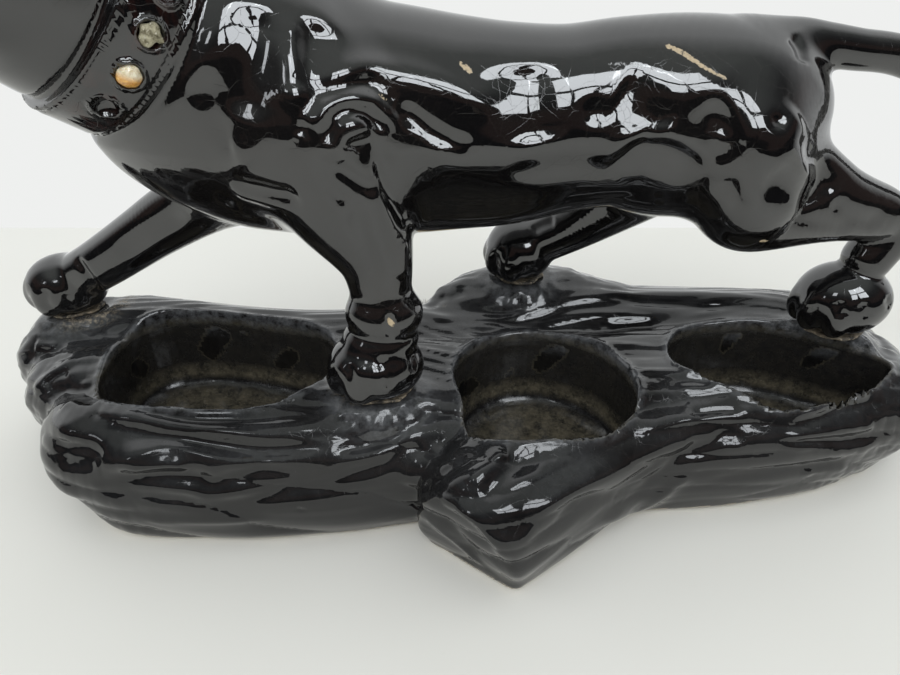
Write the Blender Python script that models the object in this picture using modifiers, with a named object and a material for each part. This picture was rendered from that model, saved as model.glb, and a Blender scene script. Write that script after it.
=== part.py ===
"""Ceramic panther television lamp: a hollow slip-cast panther striding on a hollow log with three
planter pockets, and behind the log a bracket with a lamp socket, a tubular lamp, a cord with a
rotary switch, and a plug.

Metres, +Z up.  X runs along the log (the panther faces -X), Y runs from the front of the log to its
back, and Z = 0 is the face the lamp rests on.  Sizes below are in millimetres and are scaled by MM.
"""

import math

import bmesh
import bpy
from mathutils import Matrix, Vector

MM = 0.001
X_AXIS, Y_AXIS, Z_AXIS = (1, 0, 0), (0, 1, 0), (0, 0, 1)

# ------------------------------------------------------------------ shared dimensions (mm)
ORIGIN = Vector((34.82, 32.30, 0.0))   # design-frame point that becomes the origin
GAP = 0.3                 # between pieces that touch
PAD_T = 1.5               # felt pad thickness
PAD_R = 7.0
BOND_T = 1.4              # slip joint under each paw
BOSS_X, BOSS_Y, BOSS_Z = -33.0, 62.0, 29.0   # bolt centre on the flat boss behind the log
BOSS_WALL = 8.0
BOLT_R = 2.4
LAMP_Y, LAMP_Z = 99.0, 18.6   # axis of nipple, socket and lamp, parallel to X
BRACKET_T = 1.6
BRACKET_X = -14.0         # socket side of the bracket's nipple leg
LOCKNUT_T = 2.6
NIPPLE_START_X, NIPPLE_END_X = -25.0, -2.0
CAP_X = BRACKET_X + GAP + LOCKNUT_T + GAP   # closed end of the socket cap
CORD_R = 2.4
SWITCH = Vector((-98.0, 84.0, 10.6))
SWITCH_L, SWITCH_W, SWITCH_H = 60.0, 24.0, 19.0
PLUG = Vector((78.0, 130.0, 9.0))

# Places of the felt pads: x, y
PAD_SPOTS = {"front_left": (-142, -16), "rear_left": (-158, 40), "front_right": (168, 3),
             "rear_right": (160, 50)}

# Paw joints: centre of the joint (x, y, z), radii along X and Y
PAWS = {
    "front_left": ((-29, -19, 59.0), (13.0, 10.5)),
    "front_right": ((-178, 42, 60.0), (12.0, 10.0)),
    "rear_left": ((171, 21, 62.5), (13.0, 11.0)),
    "rear_right": ((33, 53, 71.5), (11.0, 10.0)),
}

# ------------------------------------------------------------------ scene and materials
for old in list(bpy.data.objects):
    bpy.data.objects.remove(old, do_unlink=True)

PARTS = bpy.data.collections.new("Panther_TV_Lamp")
CUTTERS = bpy.data.collections.new("Cutters")
bpy.context.scene.collection.children.link(PARTS)
bpy.context.scene.collection.children.link(CUTTERS)


def new_material(name, colour, roughness, metallic=0.0, alpha=1.0):
    finish = bpy.data.materials.new(name)
    finish.use_nodes = True
    shader = finish.node_tree.nodes["Principled BSDF"]
    shader.inputs["Base Color"].default_value = (*colour, 1.0)
    shader.inputs["Roughness"].default_value = roughness
    shader.inputs["Metallic"].default_value = metallic
    shader.inputs["Alpha"].default_value = alpha
    finish.diffuse_color = (*colour, alpha)
    return finish


BLACK_GLAZE = new_material("black_glaze", colour=(0.012, 0.012, 0.014), roughness=0.06)
LOG_GLAZE = new_material("log_glaze", colour=(0.016, 0.016, 0.019), roughness=0.10)
BARE_CLAY = new_material("bare_clay", colour=(0.55, 0.45, 0.31), roughness=0.85)
AMBER = new_material("amber_stone", colour=(0.80, 0.55, 0.22), roughness=0.12)
EYE_GLASS = new_material("eye_glass", colour=(0.62, 0.50, 0.10), roughness=0.08)
FELT = new_material("felt", colour=(0.05, 0.14, 0.08), roughness=0.95)
STEEL = new_material("plated_steel", colour=(0.62, 0.60, 0.55), roughness=0.35, metallic=1.0)
BRASS = new_material("brass", colour=(0.78, 0.60, 0.28), roughness=0.30, metallic=1.0)
FIBRE = new_material("fibre", colour=(0.20, 0.11, 0.06), roughness=0.85)
PHENOLIC = new_material("phenolic", colour=(0.06, 0.035, 0.022), roughness=0.30)
BROWN_PVC = new_material("brown_cord", colour=(0.10, 0.055, 0.03), roughness=0.50)
LAMP_GLASS = new_material("lamp_glass", colour=(0.95, 0.95, 0.92), roughness=0.05, alpha=0.35)
TUNGSTEN = new_material("tungsten", colour=(0.30, 0.30, 0.32), roughness=0.40, metallic=1.0)


# ------------------------------------------------------------------ basic shapes
def place(obj, finish):
    """A piece with a finish is a part of the lamp; one without is a hidden helper."""
    if finish is None:
        CUTTERS.objects.link(obj)
        obj.hide_render = True
        obj.display_type = "WIRE"
    else:
        PARTS.objects.link(obj)
        obj.data.materials.append(finish)
    return obj


def shifted(point, x=0.0, y=0.0, z=0.0):
    return (point[0] + x, point[1] + y, point[2] + z)


def to_scene(point):
    """A design point in millimetres as a scene point in metres."""
    return (Vector(point) - ORIGIN) * MM


def aim(axis):
    """The rotation that turns +Z to axis."""
    return Vector(Z_AXIS).rotation_difference(Vector(axis)).to_matrix().to_4x4()


def from_bmesh(bm, name, finish=None, smooth=True):
    """The bmesh is in design millimetres; the object is in metres about ORIGIN."""
    bmesh.ops.recalc_face_normals(bm, faces=bm.faces)
    for vert in bm.verts:
        vert.co = to_scene(vert.co)
    mesh = bpy.data.meshes.new(name)
    bm.to_mesh(mesh)
    bm.free()
    if smooth:
        mesh.shade_smooth()
        mesh.set_sharp_from_angle(angle=math.radians(35))
    return place(bpy.data.objects.new(name, mesh), finish)


def centre_mesh(obj):
    """Moves a mesh that was built about the design zero onto its object's origin."""
    obj.data.transform(Matrix.Translation(ORIGIN * MM))


def cylinder(name, radius, depth, centre, axis=Z_AXIS, segments=24, finish=None, stretch=(1, 1)):
    bm = bmesh.new()
    matrix = Matrix.Translation(Vector(centre)) @ aim(axis) @ Matrix.Diagonal((*stretch, 1.0, 1.0))
    bmesh.ops.create_cone(bm, cap_ends=True, segments=segments, radius1=radius, radius2=radius,
                          depth=depth, matrix=matrix)
    return from_bmesh(bm, name, finish)


def block(name, low, high, finish=None, bevel=0.0):
    bm = bmesh.new()
    bmesh.ops.create_cube(bm, size=1.0)
    for vert in bm.verts:
        vert.co = Vector([low[i] if vert.co[i] < 0 else high[i] for i in range(3)])
    obj = from_bmesh(bm, name, finish, smooth=False)
    if bevel:
        edges = obj.modifiers.new("edges", "BEVEL")
        edges.width = bevel * MM
        edges.segments = 2
        edges.limit_method = "ANGLE"
    return obj


def ellipsoid(name, centre, radii, turn=0.0, frame=Matrix.Identity(4), around=20, rings=12):
    """turn is in degrees about Y; frame carries the whole ellipsoid."""
    bm = bmesh.new()
    bmesh.ops.create_uvsphere(bm, u_segments=around, v_segments=rings, radius=1.0)
    matrix = (frame @ Matrix.Translation(Vector(centre))
              @ Matrix.Rotation(math.radians(turn), 4, "Y") @ Matrix.Diagonal((*radii, 1.0)))
    bmesh.ops.transform(bm, verts=bm.verts, matrix=matrix)
    return from_bmesh(bm, name)


def turned(name, profile, base, axis, finish=None, steps=20):
    """A profile of (radius, height above base) turned about axis.

    A profile with both ends on the axis is left open there; any other is joined end to start.
    """
    mesh = bpy.data.meshes.new(name)
    verts = [(radius * MM, 0.0, height * MM) for radius, height in profile]
    edges = [(i, i + 1) for i in range(len(verts) - 1)]
    ends_on_axis = profile[0][0] == 0 and profile[-1][0] == 0
    if not ends_on_axis:
        edges.append((len(verts) - 1, 0))
    mesh.from_pydata(verts, edges, [])
    obj = place(bpy.data.objects.new(name, mesh), finish)
    screw = obj.modifiers.new("turn", "SCREW")
    screw.angle = math.tau
    screw.steps = screw.render_steps = steps
    screw.use_merge_vertices = True
    screw.merge_threshold = 0.00001
    screw.use_smooth_shade = False
    obj.matrix_world = Matrix.Translation(to_scene(base)) @ aim(axis)
    return obj


def evaluated_mesh(obj, name):
    bpy.context.view_layer.update()
    graph = bpy.context.evaluated_depsgraph_get()
    mesh = bpy.data.meshes.new_from_object(obj.evaluated_get(graph), depsgraph=graph)
    mesh.name = name
    return mesh


def tube(name, points, radius, finish=None, radii=None, resolution=1, narrow=1.0):
    """A capped round tube; radii gives each point its own radius, narrow scales it along Y."""
    curve = bpy.data.curves.new(name, "CURVE")
    curve.dimensions = "3D"
    curve.bevel_depth = radius * MM
    curve.bevel_resolution = resolution
    curve.use_fill_caps = True
    line = curve.splines.new("POLY")
    line.points.add(len(points) - 1)
    for i, point in enumerate(points):
        co = to_scene(point)
        line.points[i].co = (co.x, co.y / narrow, co.z, 1.0)
        line.points[i].radius = 1.0 if radii is None else radii[i] / radius
    guide = bpy.data.objects.new(name + "_path", curve)
    CUTTERS.objects.link(guide)
    mesh = evaluated_mesh(guide, name)
    bpy.data.objects.remove(guide, do_unlink=True)
    bm = bmesh.new()
    bm.from_mesh(mesh)
    bmesh.ops.scale(bm, verts=bm.verts, vec=(1.0, narrow, 1.0))
    bmesh.ops.remove_doubles(bm, verts=bm.verts, dist=0.000001)
    bmesh.ops.recalc_face_normals(bm, faces=bm.faces)
    bm.to_mesh(mesh)
    bm.free()
    mesh.shade_smooth()
    return place(bpy.data.objects.new(name, mesh), finish)


def smooth_path(points, per_span):
    """Points along a Catmull-Rom curve through the given points (any length tuples)."""
    path = []
    ends = [points[0], *points, points[-1]]
    for i in range(len(points) - 1):
        for k in range(per_span):
            t = k / per_span
            path.append(tuple(
                0.5 * (2 * b + (c - a) * t + (2 * a - 5 * b + 4 * c - d) * t * t
                       + (3 * b - a - 3 * c + d) * t ** 3)
                for a, b, c, d in zip(*ends[i:i + 4])))
    path.append(tuple(points[-1]))
    return path


def boolean(obj, cutter, operation, solver="EXACT"):
    step = obj.modifiers.new(operation.lower(), "BOOLEAN")
    step.operation = operation
    step.solver = solver
    step.object = cutter


def add(obj, other, solver="EXACT"):
    boolean(obj, other, "UNION", solver)


def subtract(obj, cutters, solver="EXACT"):
    for cutter in cutters:
        boolean(obj, cutter, "DIFFERENCE", solver)


def hex_nut(name, flats, thick, bore, centre, axis):
    corner_r = flats / 2 / math.cos(math.pi / 6)
    nut = cylinder(name, corner_r, thick, centre, axis, segments=6, finish=STEEL)
    subtract(nut, [cylinder(name + "_bore", bore, thick * 3, centre, axis, segments=20)])


# ------------------------------------------------------------------ modelled ceramic forms
def swelling_chain(name, stations, grow=0.0, narrow=1.0, drop=0.0):
    """A round-ended tube whose radius follows its stations, as loose pieces to be fused."""
    path = smooth_path([(x, y, z - drop, r + grow) for x, y, z, r in stations], 4)
    pieces = [tube(name, [p[:3] for p in path], radius=10.0, radii=[p[3] for p in path],
                   resolution=4, narrow=narrow)]
    for tag, (x, y, z, r) in (("a", path[0]), ("b", path[-1])):
        pieces.append(ellipsoid(name + tag, (x, y, z), (r, r * narrow, r)))
    return pieces


def apply_modifiers(obj):
    mesh = evaluated_mesh(obj, obj.name)
    obj.modifiers.clear()
    old_mesh = obj.data
    obj.data = mesh
    bpy.data.meshes.remove(old_mesh)


def fused(name, pieces, voxel, relax, triangles, finish=None):
    """Joins loose overlapping pieces into one smooth closed skin of about so many triangles."""
    bm = bmesh.new()
    for piece in pieces:
        bm.from_mesh(piece.data)
        bpy.data.objects.remove(piece, do_unlink=True)
    mesh = bpy.data.meshes.new(name)
    bm.to_mesh(mesh)
    bm.free()
    obj = place(bpy.data.objects.new(name, mesh), finish)
    remesh = obj.modifiers.new("fuse", "REMESH")
    remesh.mode = "VOXEL"
    remesh.voxel_size = voxel * MM
    soft = obj.modifiers.new("relax", "SMOOTH")
    soft.factor = 0.5
    soft.iterations = relax
    apply_modifiers(obj)
    count = sum(len(face.vertices) - 2 for face in obj.data.polygons)
    thin = obj.modifiers.new("thin", "DECIMATE")
    thin.ratio = min(1.0, triangles / count)
    apply_modifiers(obj)
    obj.data.shade_smooth()
    return obj


def evenly_spaced(outline, count):
    """Points at equal steps round a smooth closed curve through the outline."""
    curve = [Vector((*p, 0.0)) for p in smooth_path([*outline, outline[0]], 8)[:-1]]
    length = [0.0]
    for a, b in zip(curve, curve[1:] + curve[:1]):
        length.append(length[-1] + (b - a).length)
    points = []
    for k in range(count):
        target = length[-1] * k / count
        i = max(j for j in range(len(curve)) if length[j] <= target)
        t = (target - length[i]) / (length[i + 1] - length[i])
        points.append(curve[i].lerp(curve[(i + 1) % len(curve)], t))
    return points


def outline_loft(name, outline, levels, count=28):
    """A bowl form: an anticlockwise outline repeated at each (z, outward offset) level."""
    base = evenly_spaced(outline, count)
    bm = bmesh.new()
    rings = []
    for z, offset in levels:
        ring = []
        for k, point in enumerate(base):
            tangent = base[(k + 1) % count] - base[k - 1]
            outward = Vector((tangent.y, -tangent.x, 0.0)).normalized()
            ring.append(bm.verts.new(point + outward * offset + Vector((0, 0, z))))
        rings.append(ring)
    for low, high in zip(rings, rings[1:]):
        for k in range(count):
            after = (k + 1) % count
            bm.faces.new((low[k], low[after], high[after], high[k]))
    bm.faces.new(rings[0][::-1])
    bm.faces.new(rings[-1])
    return from_bmesh(bm, name)


# ------------------------------------------------------------------ log planter base
LOG_FOOT_Z = PAD_T + GAP  # unglazed foot of the log
LOG_WALL = 6.5
LOG_SKIRT = 14.0          # the sides run straight down this far before they turn under
LOG_TUCK = 10.0           # the ends tuck in towards the foot
HOLLOW_DROP = 16.0        # the hollow's lower swellings go this much further down

# Long swellings of the log, each a tube of stations (x, y, z, r)
LOG_TUBES = {
    "front": [(-148, -17, 28, 25), (-126, -21, 28, 29), (-90, -22, 28, 30), (-50, -20, 28, 29.5),
              (-15, -14, 28, 29), (40, -10, 28, 29), (90, -6, 28, 30), (125, -3, 28, 30),
              (155, 3, 28, 29), (190, 9, 28, 25)],
    "middle": [(-172, 14, 31, 22), (-148, 8, 30, 27.5), (-90, 6, 30, 28), (-30, 6, 31, 28),
               (40, 10, 31, 28), (100, 16, 31, 28), (150, 22, 31, 28), (192, 26, 30, 23)],
    "back": [(-186, 33, 36, 20), (-156, 41, 36, 25.5), (-110, 36, 35, 25.5), (-63, 31, 35, 25),
             (-20, 34, 35, 25), (30, 44, 37, 26), (80, 50, 37, 26), (119, 50, 36, 26),
             (165, 48, 36, 25), (186, 42, 35, 21)],
    "knob": [(8, 52, 46, 20), (22, 57, 46, 24), (50, 58, 46, 24), (74, 55, 43, 21)],
    "stub": [(100, -4, 34, 23), (66, -18, 33, 25), (40, -34, 30, 26), (14, -52, 27, 26)],
}
# Flat end of the stub: a point on it and its outward direction
STUB_FACE_AT = Vector((7.0, -66.0, 20.0))
STUB_FACE_OUT = Vector((-0.55, -0.80, -0.22)).normalized()

# Pocket rims, anticlockwise from above: x, y
POCKETS = {
    "left": [(-148, 5), (-146, -12), (-136, -24), (-112, -29), (-84, -30), (-66, -25), (-54, -14),
             (-50, 2), (-51, 14), (-61, 25), (-84, 31), (-113, 37), (-136, 34), (-146, 22)],
    "middle": [(2, -4), (5, -22), (10, -40), (24, -45), (44, -43), (62, -37), (73, -26), (76, -12),
               (70, 5), (58, 17), (40, 23.5), (22, 21), (9, 11)],
    "right": [(95, 2), (99, -6), (113, -14), (131, -21), (152, -18), (173, -10), (188, -1),
              (190, 6), (178, 15), (153, 28), (134, 31), (109, 27), (97, 14)],
}
POCKET_WALL = 4.5
POCKET_FLOOR_Z = 17.0
# Levels of the pocket and of the clay bowl round it: z, outward offset from the rim
POCKET_LEVELS = [(POCKET_FLOOR_Z, -9.0), (POCKET_FLOOR_Z + 3, -3.5), (POCKET_FLOOR_Z + 14, 0.5),
                 (50, 0.8), (54, 0.0), (90, 0.0)]
BOWL_LEVELS = [(POCKET_FLOOR_Z - POCKET_WALL, -8.0 + POCKET_WALL),
               (POCKET_FLOOR_Z + 3, -2.5 + POCKET_WALL),
               (POCKET_FLOOR_Z + 14, 0.5 + POCKET_WALL), (80, POCKET_WALL)]
FOOT_RIM = 2.5            # clay left round each pad
FOOT_H, FOOT_MID_Z = 66, 27.0
SEAT_CUT_H = 30           # clearance above each paw joint
SEAT_CUT_RIM = 6


def log_pieces(grow, skirt_shrink, extra_drop=0.0):
    """Every swelling twice: at its own height, and lowered and slimmer to form the sides."""
    pieces = []
    for key, stations in LOG_TUBES.items():
        if grow < 0 and key == "stub":
            stations = stations[:-2]      # the stub stays solid behind its end face
        pieces += swelling_chain("log_" + key, stations, grow)
        lower = stations
        if key != "stub":
            lower = [shifted(stations[0], LOG_TUCK) + stations[0][3:], *stations[1:-1],
                     shifted(stations[-1], -LOG_TUCK) + stations[-1][3:]]
        pieces += swelling_chain("log_low_" + key, lower, grow - skirt_shrink,
                                 drop=LOG_SKIRT + extra_drop)
    return pieces


def paw_mounds():
    return [ellipsoid("seat_" + key, shifted(centre, z=-9), (rx + 7, ry + 6, 11.5))
            for key, (centre, (rx, ry)) in PAWS.items()]


def log_hollow():
    hollow = fused("log_hollow", log_pieces(-LOG_WALL, 2.0, HOLLOW_DROP),
                   voxel=4.0, relax=2, triangles=640)
    bowls = [outline_loft("bowl_" + key, outline, BOWL_LEVELS) for key, outline in POCKETS.items()]
    feet = [cylinder("foot_" + key, PAD_R + FOOT_RIM, FOOT_H, (x, y, FOOT_MID_Z), segments=20)
            for key, (x, y) in PAD_SPOTS.items()]
    subtract(hollow, bowls + feet, "MANIFOLD")
    boss_inner = block("boss_inner", (BOSS_X - 14, 22, -8), (BOSS_X + 12, BOSS_Y - BOSS_WALL, 44))
    add(hollow, boss_inner, "MANIFOLD")
    return hollow


def stub_cutter():
    cutter = block("stub_cut", (-29, -29, 0), (29, 29, 40))
    centre_mesh(cutter)
    cutter.matrix_world = Matrix.Translation(to_scene(STUB_FACE_AT)) @ aim(STUB_FACE_OUT)
    return cutter


def seat_cutter(key, centre, rx, ry):
    """Levels the log under a paw joint."""
    cutter = cylinder("seat_cut_" + key, 1.0, SEAT_CUT_H, (0, 0, 0), segments=28,
                      stretch=(rx + SEAT_CUT_RIM, ry + SEAT_CUT_RIM))
    centre_mesh(cutter)
    cutter.location = to_scene(shifted(centre, z=-BOND_T / 2 - GAP + SEAT_CUT_H / 2))
    return cutter


def build_log():
    log = fused("log_planter_base", log_pieces(0.0, 1.0) + paw_mounds(),
                voxel=3.0, relax=4, triangles=2300, finish=LOG_GLAZE)
    add(log, block("boss_block", (BOSS_X - 19, 30, 6), (BOSS_X + 17, BOSS_Y, 50)))
    foot_cut = block("foot_cut", (-260, -140, -90), (290, 180, LOG_FOOT_Z))
    pockets = [outline_loft("pocket_" + key, outline, POCKET_LEVELS)
               for key, outline in POCKETS.items()]
    seats = [seat_cutter(key, centre, rx, ry) for key, (centre, (rx, ry)) in PAWS.items()]
    bolt_hole = cylinder("bolt_hole", BOLT_R + GAP, 60, (BOSS_X, BOSS_Y, BOSS_Z), Y_AXIS, 16)
    subtract(log, [log_hollow(), stub_cutter(), foot_cut, *pockets, *seats, bolt_hole])


def build_felt_pads():
    for key, (x, y) in PAD_SPOTS.items():
        cylinder("felt_pad_" + key, PAD_R, PAD_T, (x, y, PAD_T / 2), finish=FELT)


# ------------------------------------------------------------------ panther figure
FIGURE_WALL = 6.0
HOLLOW_INSET = FIGURE_WALL + 1.0

# Swellings (x, y, z, r); the trunk is narrower across than it is deep
TRUNK = [(-108, 6, 161, 16), (-98, 6, 160, 27), (-80, 9, 158.5, 37), (-55, 11, 157, 42.5),
         (-25, 13, 154, 41), (0, 16, 152, 38.5), (20, 17, 151.5, 36.5), (42, 19, 153, 34),
         (64, 22, 154.5, 34.5), (86, 26, 152, 37.5), (104, 29, 152, 35.5), (117, 31, 153, 28),
         (124, 31, 156, 17)]
TRUNK_NARROW = 0.86
NECK = [(-64, 11, 170, 42), (-84, 7, 181, 39), (-99, 0, 190, 35.5), (-114, -13, 203, 33.5),
        (-127, -25, 213, 28)]
LIMBS = [
    NECK,
    # near foreleg
    [(-46, -4, 158, 30), (-37, -8, 138, 23), (-28, -11, 116, 14.5), (-26, -12, 100, 11.5)],
    # far foreleg
    [(-72, 20, 142, 26), (-98, 30, 122, 16), (-124, 33, 106, 12.8), (-152, 37, 88, 11.5),
     (-170, 41, 77, 11)],
    # near hind leg
    [(103, 19, 147, 27), (112, 14, 134, 24), (118, 14, 121, 16.5), (146, 18, 119, 13),
     (172, 23, 115.5, 10.5), (182, 24, 110, 10.5), (176, 22, 96, 10)],
    # back of the near thigh
    [(106, 25, 150, 26), (128, 23, 138, 17), (150, 22, 125, 13.5), (170, 23, 117, 10.5)],
    # far hind leg
    [(96, 42, 142, 26), (80, 46, 122, 19), (60, 47, 103, 12.5), (44, 50, 92, 11)],
    # tail
    [(110, 31, 174, 13), (125, 32, 178, 9.5), (138, 33, 177.5, 8), (150, 34, 176, 7.4),
     (170, 36, 173, 7.1), (195, 37, 163, 6.8), (218, 38, 148, 6.6), (234, 38, 132, 6.6),
     (247, 38, 121, 6.8), (262, 37, 120, 7), (270, 37, 127, 6)],
]
SWELLINGS = [   # centre, radii
    ((-30, -14, 151), (11, 11, 15)),        # elbow
    ((-25, -15, 90.5), (14.6, 13.5, 9.5)),  # near fore cuff
    ((-29, -19, 69.8), (18.5, 15.5, 13)),   # near fore paw
    ((-178, 42, 72.4), (18, 15.5, 14)),     # far fore paw
    ((171, 21, 77), (20, 17, 16)),          # near hind paw
    ((33, 53, 85), (16, 15, 15)),           # far hind paw
]
# The head looks along -X in its own frame, which is turned towards the front of the log
HEAD_FRAME = (Matrix.Translation(Vector((-128.0, -26.0, 214.0)))
              @ Matrix.Rotation(math.radians(45.0), 4, "Z"))
HEAD = [        # centre in the head's frame, radii, turn about Y in degrees
    ((0, 0, 2), (29, 26.5, 24), 10),           # skull
    ((-24, 0, -7), (18, 16, 13), 10),          # muzzle
    ((-35, 0, -10), (11, 12.5, 10), 10),       # nose
    ((-22, 0, -16), (15, 12, 8), 14),          # jaw
    ((-6, -17, -8), (16, 11, 13), 0),          # cheeks
    ((-6, 17, -8), (16, 11, 13), 0),
    ((10, -18, 22), (6.5, 7, 9), 0),           # ears
    ((10, 18, 22), (6.5, 7, 9), 0),
]
EYES = {"eye_left": 1, "eye_right": -1}        # side of the head's frame along Y
EYE_R = 2.6
EYE_DOME, EYE_BACK = 1.5, 3.0
EYE_SEAT_OUT, EYE_SEAT_DEPTH = 1.0, 7.0        # middle of the seat beyond the eye point, depth

COLLAR_CENTRE = Vector((-99.0, 0.0, 189.5))
COLLAR_AXIS = Vector((-0.612, -0.54, 0.578)).normalized()
COLLAR_NEAR = Vector(Z_AXIS).cross(COLLAR_AXIS).normalized()    # towards the near side
COLLAR_NAPE = COLLAR_AXIS.cross(COLLAR_NEAR).normalized()       # towards the nape
COLLAR_R = 35.0
COLLAR_W = 20.0
STONE_R = 2.6
STONE_DOME, STONE_BACK = 1.6, 1.3
STONE_SEATS = 4
STONE_ANGLE, STONE_STEP = -24.4, 20.0          # degrees from the near side, towards the nape
STONE_ALONG = 10.0                             # along the collar's axis
STONE_SEAT_R, STONE_SEAT_DEPTH = COLLAR_R + 2.0, 4.4   # middle of a seat from the axis, depth


def body_pieces(limbs, grow=0.0):
    pieces = swelling_chain("trunk", TRUNK, grow, TRUNK_NARROW)
    for i, stations in enumerate(limbs):
        pieces += swelling_chain("limb_%d" % i, stations, grow)
    return pieces


def figure_pieces():
    pieces = body_pieces(LIMBS)
    for i, (centre, radii) in enumerate(SWELLINGS):
        pieces.append(ellipsoid("swell_%d" % i, centre, radii))
    for i, (centre, radii, turn) in enumerate(HEAD):
        pieces.append(ellipsoid("head_%d" % i, centre, radii, turn, HEAD_FRAME,
                                around=24, rings=14))
    return pieces


def figure_hollow():
    """The space inside trunk and neck, opened through the belly by a round vent."""
    hollow = fused("panther_hollow", body_pieces([NECK], -HOLLOW_INSET),
                   voxel=4.5, relax=2, triangles=420)
    add(hollow, cylinder("vent", 3.2, 40, (10, 16, 122), segments=14))
    return hollow


def collar_band():
    """A shallow raised band round the neck."""
    half = COLLAR_W / 2
    profile = [(COLLAR_R - 1.0, half), (COLLAR_R + 1.6, half - 2.0), (COLLAR_R + 2.2, 1.5 - half),
               (COLLAR_R + 1.8, -half), (COLLAR_R - 6.0, -half), (COLLAR_R - 8.0, half)]
    return turned("collar_band", profile, COLLAR_CENTRE + COLLAR_AXIS * (half + 1.0), COLLAR_AXIS,
                  steps=36)


def collar_point(angle, radius):
    """A point on the ring of stones and the outward direction there."""
    turn = math.radians(angle)
    outward = COLLAR_NEAR * math.cos(turn) + COLLAR_NAPE * math.sin(turn)
    return COLLAR_CENTRE + COLLAR_AXIS * STONE_ALONG + outward * radius, outward


def eye_point(side):
    """A point on the face and the direction in which the eye looks."""
    direction = (HEAD_FRAME.to_3x3() @ Vector((-0.78, 0.56 * side, 0.28))).normalized()
    return HEAD_FRAME @ Vector((-22.5, 12.5 * side, 7.5)), direction


def stone_seats():
    seats = []
    for k in range(STONE_SEATS):
        spot, outward = collar_point(STONE_ANGLE + k * STONE_STEP, STONE_SEAT_R)
        seats.append(cylinder("stone_seat_%d" % k, STONE_R + GAP, STONE_SEAT_DEPTH, spot, outward,
                              segments=12))
    return seats


def eye_seats():
    seats = []
    for key, side in EYES.items():
        spot, direction = eye_point(side)
        seats.append(cylinder("seat_" + key, EYE_R + GAP, EYE_SEAT_DEPTH,
                              spot + direction * EYE_SEAT_OUT, direction, segments=12))
    return seats


def build_figure():
    figure = fused("panther_figure", figure_pieces(),
                   voxel=2.2, relax=3, triangles=3300, finish=BLACK_GLAZE)
    paw_cuts = [block("paw_cut_" + key, shifted(centre, -30, -28, -40),
                      shifted(centre, 30, 28, BOND_T / 2 + GAP))
                for key, (centre, _) in PAWS.items()]
    add(figure, collar_band())
    subtract(figure, [figure_hollow(), *paw_cuts, *stone_seats(), *eye_seats()])


def stone(name, centre, direction, radius, dome, back, finish):
    """A domed stone: centre is at its girdle, dome and back are the heights either side."""
    turned(name, [(0, dome), (radius * 0.6, dome * 0.72), (radius * 0.93, dome * 0.25),
                  (radius, 0), (radius, -back), (0, -back)], centre, direction, finish, 16)


def build_stones():
    girdle_r = STONE_SEAT_R - STONE_SEAT_DEPTH / 2 + STONE_BACK + GAP
    spot, outward = collar_point(STONE_ANGLE, girdle_r)
    stone("collar_stone", spot, outward, STONE_R, STONE_DOME, STONE_BACK, AMBER)
    girdle_out = EYE_SEAT_OUT - EYE_SEAT_DEPTH / 2 + EYE_BACK + GAP
    for key, side in EYES.items():
        spot, direction = eye_point(side)
        stone(key, spot + direction * girdle_out, direction, EYE_R, EYE_DOME, EYE_BACK, EYE_GLASS)


def build_paw_bonds():
    """Slip joints under the paws."""
    for key, (centre, (rx, ry)) in PAWS.items():
        cylinder("paw_bond_" + key, 1.0, BOND_T, centre, segments=28, finish=BARE_CLAY,
                 stretch=(rx + 1.5, ry + 1.5))


# ------------------------------------------------------------------ bracket and its bolt
LEG_END_R = 9.8           # rounded end of the bracket leg, about the lamp axis
WASHER_T = 0.9
CUSHION_T = 1.6
BOLT_NUT_T = 3.2


def on_lamp_axis(x):
    return (x, LAMP_Y, LAMP_Z)


def build_bracket():
    """A plate on the boss with a leg that stands out backwards and carries the nipple."""
    plate_y = BOSS_Y + GAP
    bracket = block("socket_bracket", (BOSS_X - 16, plate_y, BOSS_Z - 21),
                    (BRACKET_X, plate_y + BRACKET_T, BOSS_Z + 17), STEEL)
    add(bracket, block("bracket_leg", (BRACKET_X - BRACKET_T, plate_y, LAMP_Z - LEG_END_R),
                       (BRACKET_X, LAMP_Y, LAMP_Z + 9.6)))
    add(bracket, cylinder("bracket_leg_end", LEG_END_R, BRACKET_T,
                          on_lamp_axis(BRACKET_X - BRACKET_T / 2), X_AXIS, segments=28))
    subtract(bracket, [
        cylinder("nipple_hole", 5.3, 12, on_lamp_axis(BRACKET_X), X_AXIS),
        cylinder("bracket_hole", BOLT_R + GAP, 12, (BOSS_X, BOSS_Y, BOSS_Z), Y_AXIS, 16)])


def on_bolt(y):
    return (BOSS_X, y, BOSS_Z)


def build_bolt():
    washer_y = BOSS_Y + GAP + BRACKET_T + GAP
    hole = BOLT_R + GAP
    turned("bracket_bolt", [(0, 2.6), (2.6, 2.2), (4.2, 1.0), (4.4, 0), (BOLT_R, 0),
                            (BOLT_R, -19.0), (0, -19.0)],
           on_bolt(washer_y + WASHER_T + GAP), Y_AXIS, STEEL)
    turned("bracket_washer", [(5.4, WASHER_T), (5.4, 0), (hole, 0), (hole, WASHER_T)],
           on_bolt(washer_y), Y_AXIS, STEEL)
    cushion_y = BOSS_Y - BOSS_WALL - GAP
    turned("cushion_washer", [(6.4, 0), (6.4, -CUSHION_T), (hole, -CUSHION_T), (hole, 0)],
           on_bolt(cushion_y), Y_AXIS, FIBRE)
    hex_nut("bracket_nut", 8.6, BOLT_NUT_T, BOLT_R + 0.15,
            on_bolt(cushion_y - CUSHION_T - GAP - BOLT_NUT_T / 2), Y_AXIS)


# ------------------------------------------------------------------ nipple and lamp socket
SHELL_X = CAP_X + 13.0
SHELL_R = 16.6
BODY_X = SHELL_X + 2.0
BODY_L, BODY_R = 12.0, 11.0
SCREW_SHELL_X = BODY_X + BODY_L + GAP
CONTACT_X, CONTACT_H = SCREW_SHELL_X - 0.2, 2.2


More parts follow.
